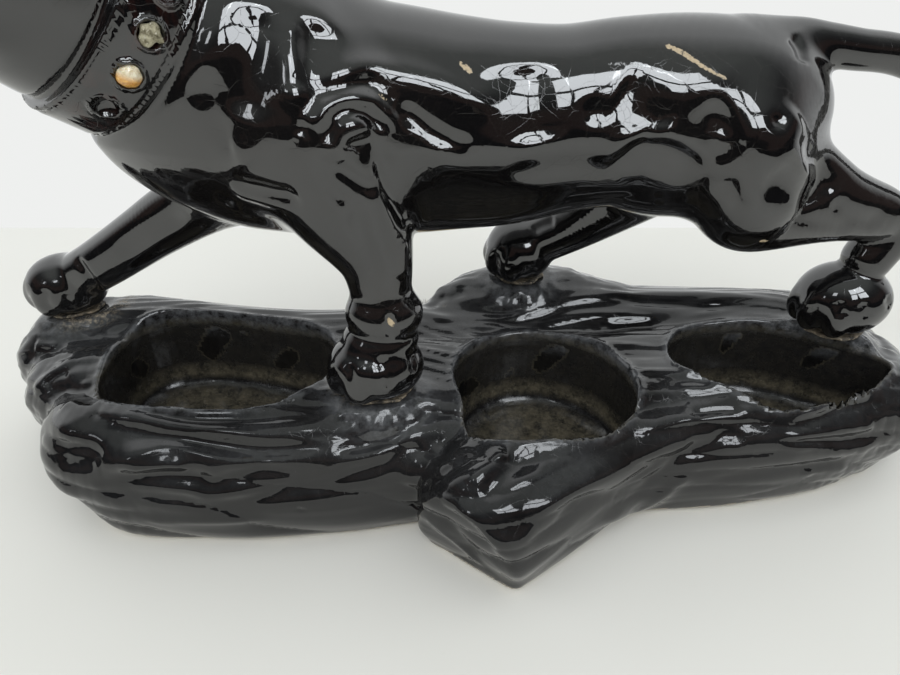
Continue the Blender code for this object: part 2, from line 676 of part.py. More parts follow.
def lamp_part(name, x, finish, profile, steps=20, axis=X_AXIS):
    """A part turned about the lamp axis; heights are measured from x."""
    turned(name, profile, on_lamp_axis(x), axis, finish, steps)


def build_nipple():
    length = NIPPLE_END_X - NIPPLE_START_X
    lamp_part("threaded_nipple", NIPPLE_START_X, BRASS,
              [(4.9, length), (4.9, 0), (3.6, 0), (3.6, length)])
    offset = GAP + LOCKNUT_T / 2
    for name, x in (("nipple_locknut_outer", BRACKET_X - BRACKET_T - offset),
                    ("nipple_locknut_inner", BRACKET_X + offset)):
        hex_nut(name, 16.0, LOCKNUT_T, 5.15, on_lamp_axis(x), X_AXIS)
    lip = 2.7             # thickness that stands beyond the nipple's end
    lamp_part("cord_bushing", NIPPLE_START_X - lip - GAP, PHENOLIC,
              [(5.6, 5.0), (6.4, 4.0), (6.4, 0.8), (5.6, 0), (3.0, 0), (3.0, lip), (5.2, 3.0),
               (5.2, 5.0)])


def build_socket():
    lamp_part("socket_cap", CAP_X, BRASS,
              [(17.7, 20.0), (17.7, 9.5), (16.0, 5.0), (11.0, 2.2), (7.0, 0.0), (5.2, 0.0),
               (5.2, 3.6), (10.2, 3.9), (15.0, 6.2), (16.95, 10.0), (16.95, 20.0)])
    lamp_part("socket_shell", SHELL_X, BRASS,
              [(16.9, 40.5), (17.1, 39.7), (SHELL_R - 0.3, 38.5), (SHELL_R, 14), (SHELL_R, 0),
               (SHELL_R - 0.7, 0), (SHELL_R - 0.7, 14), (SHELL_R - 1.0, 38.5), (16.2, 40.0),
               (16.2, 40.5)])
    lamp_part("socket_liner", SHELL_X, FIBRE,
              [(15.2, 40.0), (15.5, 14.0), (15.5, 1.0), (14.8, 1.0), (14.8, 14.0), (14.6, 40.0)])
    lamp_part("socket_body", BODY_X, PHENOLIC,
              [(BODY_R, BODY_L), (BODY_R, 9.0), (14.4, 9.0), (14.4, 4.0), (BODY_R, 4.0),
               (BODY_R, 0), (4.0, 0), (4.0, 6.0), (1.3, 6.0), (1.3, BODY_L)])
    lamp_part("socket_screw_shell", SCREW_SHELL_X, BRASS,
              [(13.9, 24.5), (14.1, 24.0), (14.1, 1.0), (13.2, 0.0), (7.0, 0.0), (7.0, 0.7),
               (13.0, 0.7), (13.4, 1.4), (13.4, 24.5)])
    lamp_part("socket_centre_contact", CONTACT_X, BRASS,
              [(0, CONTACT_H), (3.4, 2.0), (3.8, 1.2), (3.8, 0.5), (1.1, 0.5), (1.1, -6.0),
               (0, -6.0)])
    for name, side, finish in (("terminal_screw_brass", -1, BRASS),
                               ("terminal_screw_silver", 1, STEEL)):
        turned(name, [(0, 1.2), (2.4, 0.9), (2.9, 0), (0, 0)],
               (BODY_X + 0.7, LAMP_Y, LAMP_Z + side * (BODY_R + GAP)), (0, 0, side), finish, 16)


# ------------------------------------------------------------------ tubular lamp
LAMP_END_X = 174.0        # rounded end of the glass
GLASS_R = 15.5
TIP_X, TIP_T = CONTACT_X + CONTACT_H + GAP, 1.4
INSULATOR_X, INSULATOR_T = TIP_X + TIP_T + GAP, 3.6
BASE_X = INSULATOR_X + INSULATOR_T + GAP
GLASS_X = BASE_X + 4.0
STEM_X, STEM_L = GLASS_X + 2.0, 38
FILAMENT_X = STEM_X + STEM_L + GAP
# Filament points: x from FILAMENT_X, y and z from the lamp axis
FILAMENT = [(0, -1.4, 0), (8, -5, 1), (26, -6, 2), (62, -2.5, 3), (66, 0, 3.4),
            (62, 2.5, 3), (26, 6, 2), (8, 5, 1), (0, 1.4, 0)]


def build_lamp_base():
    lamp_part("lamp_tip_contact", TIP_X, BRASS,
              [(0, 0), (3.2, 0), (4.4, -0.7), (4.4, -TIP_T), (0, -TIP_T)], axis=(-1, 0, 0))
    lamp_part("lamp_base_insulator", INSULATOR_X, PHENOLIC,
              [(0, INSULATOR_T), (12.2, INSULATOR_T), (12.2, 2.6), (5.4, 0), (0, 0)])
    lamp_part("lamp_base_shell", BASE_X, BRASS,
              [(12.7, 20.5), (13.0, 19.5), (13.0, 1.0), (12.2, 0), (11.6, 0), (12.3, 1.2),
               (12.3, 20.5)])


def build_lamp_glass():
    end = LAMP_END_X - GLASS_X
    lamp_part("lamp_glass", GLASS_X, LAMP_GLASS, [
        # outside, from the rounded end to the neck
        (0, end), (GLASS_R * 0.5, end - 2.0), (GLASS_R * 0.86, end - 7.5),
        (GLASS_R, end - GLASS_R), (GLASS_R, 30), (GLASS_R * 0.93, 24), (12.0, 18.5), (11.9, 0),
        # inside, back to the rounded end
        (10.9, 0), (11.0, 18.8), (GLASS_R * 0.93 - 1.0, 24.6), (GLASS_R - 1.0, 30.4),
        (GLASS_R - 1.0, end - GLASS_R), (GLASS_R * 0.86 - 0.9, end - 8.2),
        (GLASS_R * 0.5 - 0.5, end - 3.2), (0, end - 1.1)])
    lamp_part("lamp_stem", STEM_X, LAMP_GLASS,
              [(0, STEM_L), (2.2, 37.6), (3.0, 34), (3.4, 8), (9.8, 1.5), (10.0, 0), (0, 0)], 16)
    tube("lamp_filament", [shifted(on_lamp_axis(FILAMENT_X), *point) for point in FILAMENT], 0.4,
         TUNGSTEN)


# ------------------------------------------------------------------ cord
CORD_LOW_Z = CORD_R + GAP   # height of the cord where it lies on the table


def build_cords():
    switch_x, switch_y, switch_z = SWITCH
    plug_x, plug_y, plug_z = PLUG
    half = SWITCH_L / 2
    to_switch = [
        on_lamp_axis(CAP_X + 8), on_lamp_axis(NIPPLE_START_X),
        (NIPPLE_START_X - 7, LAMP_Y, LAMP_Z - 0.4),
        (NIPPLE_START_X - 16, LAMP_Y - 3, LAMP_Z - 3.5),
        (NIPPLE_START_X - 27, LAMP_Y - 10, switch_z + 1.2),
        shifted(SWITCH, half + 7, 0.5), shifted(SWITCH, half + 2), shifted(SWITCH, half - 8)]
    left = switch_x - half
    to_plug = [
        shifted(SWITCH, 8 - half), shifted(SWITCH, -half - 2), shifted(SWITCH, -half - 16, z=-4.5),
        (left - 30, switch_y + 3, CORD_LOW_Z), (left - 42, switch_y + 16, CORD_LOW_Z),
        (left - 34, switch_y + 30, CORD_LOW_Z), (left - 8, switch_y + 35, CORD_LOW_Z),
        (-60, switch_y + 37, CORD_LOW_Z), (0, switch_y + 40, CORD_LOW_Z),
        (plug_x - 46, plug_y, CORD_LOW_Z + 0.5), (plug_x - 27, plug_y, plug_z - 1),
        (plug_x - 18, plug_y, plug_z), (plug_x - 6, plug_y, plug_z)]
    tube("cord_socket_to_switch", smooth_path(to_switch, 3), CORD_R, BROWN_PVC)
    tube("cord_switch_to_plug", smooth_path(to_plug, 3), CORD_R, BROWN_PVC)


# ------------------------------------------------------------------ rotary switch in the cord
WHEEL_R = 9.5
SPINDLE_R = 1.6
WHEEL_AT = shifted(SWITCH, y=5.2)
SCREW_AT = shifted(SWITCH, -25.0, -8.0)
SCREW_HEAD_CUT = 4.4      # height of the head's cutter, half of it inside the housing


def build_switch_housing():
    half_l, half_w, half_h = SWITCH_L / 2, SWITCH_W / 2, SWITCH_H / 2
    lower = block("switch_housing_bottom", shifted(SWITCH, -half_l, -half_w, -half_h),
                  shifted(SWITCH, half_l, half_w, -GAP / 2), PHENOLIC)
    upper = block("switch_housing_top", shifted(SWITCH, -half_l, -half_w, GAP / 2),
                  shifted(SWITCH, half_l, half_w, half_h), PHENOLIC)
    shared = [
        cylinder("cord_cut", CORD_R + GAP, SWITCH_L + 4, SWITCH, X_AXIS, 16),
        block("switch_cavity", shifted(SWITCH, -21, -8.5, -6.6), shifted(SWITCH, 21, 4.5, 6.6)),
        cylinder("wheel_cut", WHEEL_R + 0.8, 6.2, WHEEL_AT, segments=28),
        cylinder("spindle_cut", SPINDLE_R + 0.2, 14.6, WHEEL_AT, segments=16),
        cylinder("screw_cut", 1.5 + GAP, 40, SCREW_AT, segments=16)]
    head_cut = cylinder("screw_head_cut", 3.0 + GAP, SCREW_HEAD_CUT, shifted(SCREW_AT, z=half_h),
                        segments=16)
    nut_cut = cylinder("nut_cut", 3.6, 4.8, shifted(SCREW_AT, z=-half_h), segments=6)
    subtract(lower, [*shared, nut_cut])
    subtract(upper, [*shared, head_cut])


def build_switch_works():
    rim = WHEEL_R - 0.6
    turned("switch_wheel", [(rim, 2.0), (WHEEL_R, 1.4), (WHEEL_R, -1.4), (rim, -2.0),
                            (1.7, -2.0), (1.7, 2.0)], WHEEL_AT, Z_AXIS, PHENOLIC, 28)
    turned("switch_spindle", [(0, 7.0), (SPINDLE_R, 7.0), (SPINDLE_R, -7.0), (0, -7.0)],
           WHEEL_AT, Z_AXIS, STEEL, 16)
    turned("switch_rotor_contact", [(5.4, 0), (5.4, -0.6), (2.6, -0.6), (2.6, 0)],
           shifted(WHEEL_AT, z=-2.0 - GAP), Z_AXIS, BRASS)
    for name, low_x, high_x in (("switch_contact_in", 3.2, 14), ("switch_contact_out", -14, -3.2)):
        block(name, shifted(SWITCH, low_x, -4.6, -4.0), shifted(SWITCH, high_x, 4.0, -3.2), BRASS)
    turned("switch_screw", [(0, 1.8), (2.2, 1.5), (2.9, 0.4), (2.9, 0), (1.45, 0), (1.45, -15.0),
                            (0, -15.0)],
           shifted(SCREW_AT, z=SWITCH_H / 2 - SCREW_HEAD_CUT / 2 + GAP), Z_AXIS, STEEL, 16)
    hex_nut("switch_nut", 5.6, 2.0, 1.6, shifted(SCREW_AT, z=1.05 - SWITCH_H / 2), Z_AXIS)


# ------------------------------------------------------------------ plug
PLUG_BACK, PLUG_FACE = -16, 12         # cord end and blade end, along X from PLUG
DISC_T = 1
BLADE_Y = 6.35                         # each blade from the plug's middle
BLADE_HALF_T, BLADE_HALF_W = 0.75, 3.2


def build_plug():
    body = block("plug_body", shifted(PLUG, PLUG_BACK, -11.5, -7.2),
                 shifted(PLUG, PLUG_FACE, 11.5, 7.2), PHENOLIC, bevel=1.2)
    subtract(body, [
        block("plug_recess", shifted(PLUG, -4, -9.5, -5.2), shifted(PLUG, 14, 9.5, 5.2)),
        cylinder("plug_neck", CORD_R + GAP, 40, shifted(PLUG, PLUG_BACK), X_AXIS, 16)])
    disc = block("plug_insulating_disc", shifted(PLUG, PLUG_FACE + GAP, -11, -6.8),
                 shifted(PLUG, PLUG_FACE + DISC_T + GAP, 11, 6.8), FIBRE)
    slot_t, slot_w = BLADE_HALF_T + GAP, BLADE_HALF_W + GAP
    for name, side in (("plug_blade_left", -1), ("plug_blade_right", 1)):
        middle = shifted(PLUG, y=side * BLADE_Y)
        subtract(disc, [block(name + "_slot", shifted(middle, 8, -slot_t, -slot_w),
                              shifted(middle, 18, slot_t, slot_w))])
        block(name, shifted(middle, 0.5, -BLADE_HALF_T, -BLADE_HALF_W),
              shifted(middle, 29, BLADE_HALF_T, BLADE_HALF_W), BRASS)


build_log()
build_felt_pads()
build_figure()
build_stones()
build_paw_bonds()
build_bracket()
build_bolt()
build_nipple()
build_socket()
build_lamp_base()
build_lamp_glass()
build_cords()
build_switch_housing()
build_switch_works()
build_plug()
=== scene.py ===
"""Looks of the ceramic panther television lamp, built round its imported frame.

The two castings are built as smooth closed forms from the same swellings as the frame's solids, with
muscle folds, toes, collar, bark ridges, pocket rims and crazing added.  The lamp kit behind the log is
built again with its threads, knurls, ribs and rolled edges.
"""

import math

import bmesh
import bpy
import numpy as np
from mathutils import Matrix, Vector


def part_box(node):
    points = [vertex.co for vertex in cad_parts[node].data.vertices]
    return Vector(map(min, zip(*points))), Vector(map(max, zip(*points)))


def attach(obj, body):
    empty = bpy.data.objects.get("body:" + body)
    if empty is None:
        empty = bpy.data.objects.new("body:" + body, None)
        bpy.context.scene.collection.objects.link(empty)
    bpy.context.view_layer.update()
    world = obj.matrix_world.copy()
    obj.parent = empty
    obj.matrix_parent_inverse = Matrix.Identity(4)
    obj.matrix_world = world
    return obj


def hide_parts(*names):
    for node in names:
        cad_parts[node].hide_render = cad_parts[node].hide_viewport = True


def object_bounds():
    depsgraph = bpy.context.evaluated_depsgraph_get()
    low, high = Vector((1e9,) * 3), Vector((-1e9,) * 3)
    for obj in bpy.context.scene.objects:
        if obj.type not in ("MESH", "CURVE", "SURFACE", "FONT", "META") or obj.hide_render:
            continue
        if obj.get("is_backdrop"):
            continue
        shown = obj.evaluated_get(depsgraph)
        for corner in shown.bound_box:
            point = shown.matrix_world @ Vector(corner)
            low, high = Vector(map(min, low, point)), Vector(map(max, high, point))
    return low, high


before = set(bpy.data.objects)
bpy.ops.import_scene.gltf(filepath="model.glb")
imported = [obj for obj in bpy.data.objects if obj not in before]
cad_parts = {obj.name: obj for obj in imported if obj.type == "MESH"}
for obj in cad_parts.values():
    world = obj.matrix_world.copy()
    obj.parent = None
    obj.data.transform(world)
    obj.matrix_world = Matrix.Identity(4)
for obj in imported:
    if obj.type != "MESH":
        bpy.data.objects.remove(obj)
CAD_LOW, CAD_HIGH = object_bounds()

# Forms are drawn in millimetres in their own frame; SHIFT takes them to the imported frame.
_low, _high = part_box("felt_pad_front_left")
SHIFT = np.array([(_low.x + _high.x) * 500.0 + 142.0, (_low.y + _high.y) * 500.0 + 16.0, 0.0])


def mm(node):
    """Box of a frame node in form millimetres."""
    low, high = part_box(node)
    return np.array(low) * 1000.0 - SHIFT, np.array(high) * 1000.0 - SHIFT


# ---- forms
BIG = 80.0
REACH = [16.0]


def catmull(points, per):
    pts = np.array(points, float)
    ends = np.vstack([pts[:1], pts, pts[-1:]])
    out = []
    for i in range(len(pts) - 1):
        p0, p1, p2, p3 = ends[i:i + 4]
        for k in range(per):
            t = k / per
            out.append(0.5 * (2 * p1 + (p2 - p0) * t + (2 * p0 - 5 * p1 + 4 * p2 - p3) * t * t
                              + (3 * p1 - p0 - 3 * p2 + p3) * t ** 3))
    out.append(pts[-1])
    return np.array(out)


def smin(a, b, k):
    h = np.maximum(k - np.abs(a - b), 0.0) / k
    return np.minimum(a, b) - h * h * k * 0.25


def smax(a, b, k):
    return -smin(-a, -b, k)


def inside(p, low, high):
    return np.nonzero((p[:, 0] > low[0]) & (p[:, 0] < high[0]) & (p[:, 1] > low[1]) & (p[:, 1] < high[1])
                      & (p[:, 2] > low[2]) & (p[:, 2] < high[2]))[0]


def tube(p, stations, narrow=1.0, per=6):
    """Distance to a round-ended tube whose radius follows its stations."""
    path = catmull(stations, per)
    scale = np.array([1.0, 1.0 / narrow, 1.0])
    q = p * scale
    path[:, :3] *= scale
    out = np.full(len(p), BIG)
    for i in range(0, len(path) - 1, 6):
        run = path[i:i + 7]
        grow = run[:, 3:4] + REACH[0]
        idx = inside(q, (run[:, :3] - grow).min(0), (run[:, :3] + grow).max(0))
        if not len(idx):
            continue
        s = q[idx]
        best = np.full(len(idx), BIG)
        for a, b in zip(run, run[1:]):
            ab = b[:3] - a[:3]
            rel = s - a[:3]
            t = np.clip(rel @ ab / max(ab @ ab, 1e-9), 0.0, 1.0)
            d = np.sqrt(((rel - t[:, None] * ab) ** 2).sum(1)) - (a[3] + (b[3] - a[3]) * t)
            best = np.minimum(best, d)
        out[idx] = np.minimum(out[idx], best)
    return out


def egg(p, centre, radii, turn=0.0):
    """Distance to an ellipsoid, turned about Y by turn degrees."""
    c, r = np.array(centre, float), np.array(radii, float)
    reach = r.max() + REACH[0]
    out = np.full(len(p), BIG)
    idx = inside(p, c - reach, c + reach)
    if not len(idx):
        return out
    q = p[idx] - c
    if turn:
        s, co = math.sin(math.radians(turn)), math.cos(math.radians(turn))
        q = np.stack([co * q[:, 0] - s * q[:, 2], q[:, 1], s * q[:, 0] + co * q[:, 2]], 1)
    k0 = np.sqrt(((q / r) ** 2).sum(1))
    k1 = np.sqrt(((q / (r * r)) ** 2).sum(1)) + 1e-9
    out[idx] = k0 * (k0 - 1.0) / k1
    return out


def line_distance(p, points, width, per=5, spread=3.0):
    """(indices, distance, place 0..1 along) of the points near a curve."""
    path = catmull(points, per)
    idx = inside(p, path.min(0) - spread * width, path.max(0) + spread * width)
    if not len(idx):
        return idx, None, None
    s = p[idx]
    best, where = np.full(len(idx), 1e9), np.zeros(len(idx))
    steps = np.sqrt((np.diff(path, axis=0) ** 2).sum(1))
    total, run = max(steps.sum(), 1e-9), 0.0
    for a, b, length in zip(path, path[1:], steps):
        ab = b - a
        rel = s - a
        t = np.clip(rel @ ab / max(ab @ ab, 1e-9), 0.0, 1.0)
        d = ((rel - t[:, None] * ab) ** 2).sum(1)
        near = d < best
        best = np.where(near, d, best)
        where = np.where(near, (run + t * length) / total, where)
        run += length
    return idx, np.sqrt(best), where


def folds(p, d, table, power=2.0):
    """Grooves (positive depth) and ridges (negative) along curves, fading out at both ends."""
    for depth, width, points in table:
        idx, r, t = line_distance(p, points, width)
        if not len(idx):
            continue
        fade = np.clip(np.minimum(t, 1.0 - t) / 0.22, 0.0, 1.0)
        fade = fade * fade * (3 - 2 * fade) * 0.92 + 0.08
        d[idx] += depth * np.exp(-(r / width) ** power) * fade
    return d


def dents(p, d, table):
    """Dents (positive) and bumps (negative): depth, centre, radii."""
    for depth, centre, radii in table:
        c, r = np.array(centre, float), np.array(radii, float) * np.ones(3)
        idx = inside(p, c - 2.6 * r, c + 2.6 * r)
        if len(idx):
            d[idx] += depth * np.exp(-(((p[idx] - c) / r) ** 2).sum(1))
    return d


def wobble(p, wave, seed, stretch=(1.0, 1.0, 1.0), count=6):
    """Smooth deterministic noise, about -1..1."""
    rng = np.random.RandomState(seed)
    out = np.zeros(len(p))
    q = p / np.array(stretch, float)
    for _ in range(count):
        k = rng.normal(size=3)
        k = k / np.linalg.norm(k) * (math.tau / wave) * rng.uniform(0.6, 1.5)
        out += np.sin(q @ k + rng.uniform(0, math.tau))
    return out / count * 1.6


TRUNK = [(-108, 6, 161, 16), (-98, 6, 160, 27), (-80, 9, 158.5, 37), (-55, 11, 157, 42.5), (-25, 13, 154, 41),
         (0, 16, 152, 38.5), (20, 17, 151.5, 36.5), (42, 19, 153, 34), (64, 22, 154.5, 34.5), (86, 26, 152, 37.5),
         (104, 29, 152, 35.5), (117, 31, 153, 28), (124, 31, 156, 17)]
NECK = [(-64, 11, 170, 42), (-84, 7, 181, 39), (-99, 0, 190, 35.5), (-114, -13, 203, 33.5), (-127, -25, 213, 28)]
LIMBS = [   # stations, blend
    ([(-46, -4, 158, 30), (-37, -8, 138, 23), (-28, -11, 116, 14.5), (-26, -12, 100, 11.5)], 9.0),
    ([(-72, 20, 142, 26), (-98, 30, 122, 16), (-124, 33, 106, 12.8), (-152, 37, 88, 11.5), (-170, 41, 77, 11)], 7.0),
    ([(103, 19, 147, 27), (112, 14, 134, 24), (118, 14, 121, 16.5), (146, 18, 119, 13), (172, 23, 115.5, 10.5),
      (182, 24, 110, 10.5), (176, 22, 96, 10)], 7.0),
    ([(106, 25, 150, 26), (128, 23, 138, 17), (150, 22, 125, 13.5), (170, 23, 117, 10.5)], 6.0),
    ([(96, 42, 142, 26), (80, 46, 122, 19), (60, 47, 103, 12.5), (44, 50, 92, 11)], 7.0),
    ([(110, 31, 174, 13), (125, 32, 178, 9.5), (138, 33, 177.5, 8), (150, 34, 176, 7.4), (170, 36, 173, 7.1),
      (195, 37, 163, 6.8), (218, 38, 148, 6.6), (234, 38, 132, 6.6), (247, 38, 121, 6.8), (262, 37, 120, 7),
      (270, 37, 127, 6)], 6.0),
]
SWELLINGS = [   # centre, radii, blend
    ((-25, -15, 92.0), (14.8, 13.6, 11.5), 2.6),
    ((-26.6, -16.8, 82.0), (14.6, 12.9, 8.0), 2.4),
    ((-29, -19, 70.6), (18.8, 16.0, 13.6), 3.0),
    ((-178, 42, 72.4), (18, 15.5, 14), 2.2),
    ((171, 21, 77), (20, 17, 16), 2.2),
    ((33, 53, 85), (16, 15, 15), 2.2),
]
for (x, y, z), reach, spread, low in (((-29, -19, 67.5), 13.0, 9.5, 8.6), ((-178, 42, 69.5), 12.5, 9.0, 8.8),
                                     ((171, 21, 73.5), 14.0, 10.5, 9.6), ((33, 53, 81.5), 10.5, 9.0, 8.6)):
    # four toes, fanned round the front of the paw
    for turn, far in ((-62, 0.92), (-22, 1.06), (16, 1.08), (54, 0.92)):
        a = math.radians(turn)
        SWELLINGS.append(((x - reach * far * math.cos(a), y + (spread + 2.5) * math.sin(a), z), (6.4, 5.2, low), 1.3))
HEAD_AT, HEAD_YAW = np.array([-128.0, -26.0, 214.0]), math.radians(45.0)
HEAD = [    # centre, radii, turn, blend
    ((0, 0, 2), (29, 26, 23.5), 10, 1.0), ((-24, 0, -7), (18, 15, 12.5), 10, 7.0),
    ((-36, -6.2, -9.5), (8.5, 7.6, 7.8), 6, 3.0), ((-36, 6.2, -9.5), (8.5, 7.6, 7.8), 6, 3.0),
    ((-39, 0, -3.6), (6.5, 6.2, 4.6), 18, 2.5), ((-30, 0, -18.5), (11, 10.5, 6.2), 14, 3.0),
    ((-6, -17, -8), (16, 11, 13), 0, 7.0), ((-6, 17, -8), (16, 11, 13), 0, 7.0),
    ((-19, -11, 12.5), (7.5, 7, 4.2), 24, 4.0), ((-19, 11, 12.5), (7.5, 7, 4.2), 24, 4.0),
    ((10, -18, 22), (6.0, 7.4, 9.6), -8, 4.5), ((10, 18, 22), (6.0, 7.4, 9.6), -8, 4.5),
]
HEAD_FOLDS = [
    (1.5, 1.5, [(-45, 0, -12.5), (-41, 7, -15.2), (-34, 11.6, -15.6), (-25, 14.4, -12.5)]),
    (1.5, 1.5, [(-45, 0, -12.5), (-41, -7, -15.2), (-34, -11.6, -15.6), (-25, -14.4, -12.5)]),
    (1.1, 1.0, [(-45.5, 0, -6), (-45.6, 0, -9), (-45, 0, -13)]),
    (-1.0, 1.6, [(-29.5, 9, 6), (-27, 12.5, 12), (-20, 17, 13.5), (-14, 20, 10.5)]),
    (-1.0, 1.6, [(-29.5, -9, 6), (-27, -12.5, 12), (-20, -17, 13.5), (-14, -20, 10.5)]),
    (-0.8, 1.4, [(-29, 9, 3.5), (-25, 14.5, 1.5), (-18, 18.5, 3.5), (-14, 20, 8)]),
    (-0.8, 1.4, [(-29, -9, 3.5), (-25, -14.5, 1.5), (-18, -18.5, 3.5), (-14, -20, 8)]),
    (0.7, 2.4, [(-30, 0, 8), (-22, 0, 16), (-12, 0, 22)]),
]
HEAD_DENTS = [
    (2.6, (5.0, 18.6, 24.5), (4.2, 4.0, 6.4)), (2.6, (5.0, -18.6, 24.5), (4.2, 4.0, 6.4)),
    (1.6, (-45.3, 3.3, -4.4), (1.6, 1.3, 1.1)), (1.6, (-45.3, -3.3, -4.4), (1.6, 1.3, 1.1)),
    (1.4, (-33, 11.5, -1), (6, 5, 4)), (1.4, (-33, -11.5, -1), (6, 5, 4)),
] + [(0.35, (-37.5 + 3.4 * a, side * (13.2 + 0.6 * a), -8.2 - 2.7 * b), 0.8)
     for a in range(3) for b in range(2) for side in (1, -1)]
EYES = {"eye_left": (-22.5, 12.5, 7.5), "eye_right": (-22.5, -12.5, 7.5)}
EYE_DIRS = {"eye_left": (-0.78, 0.56, 0.28), "eye_right": (-0.78, -0.56, 0.28)}
COLLAR_C = np.array([-99.0, 0.0, 189.5])
COLLAR_N = np.array([-0.612, -0.54, 0.578]) / np.linalg.norm([-0.612, -0.54, 0.578])
COLLAR_OUT = np.array([0.6616, -0.7498, 0.0])
COLLAR_OVER = np.array([0.4334, 0.3824, 0.8161])
COLLAR_R = 35.0

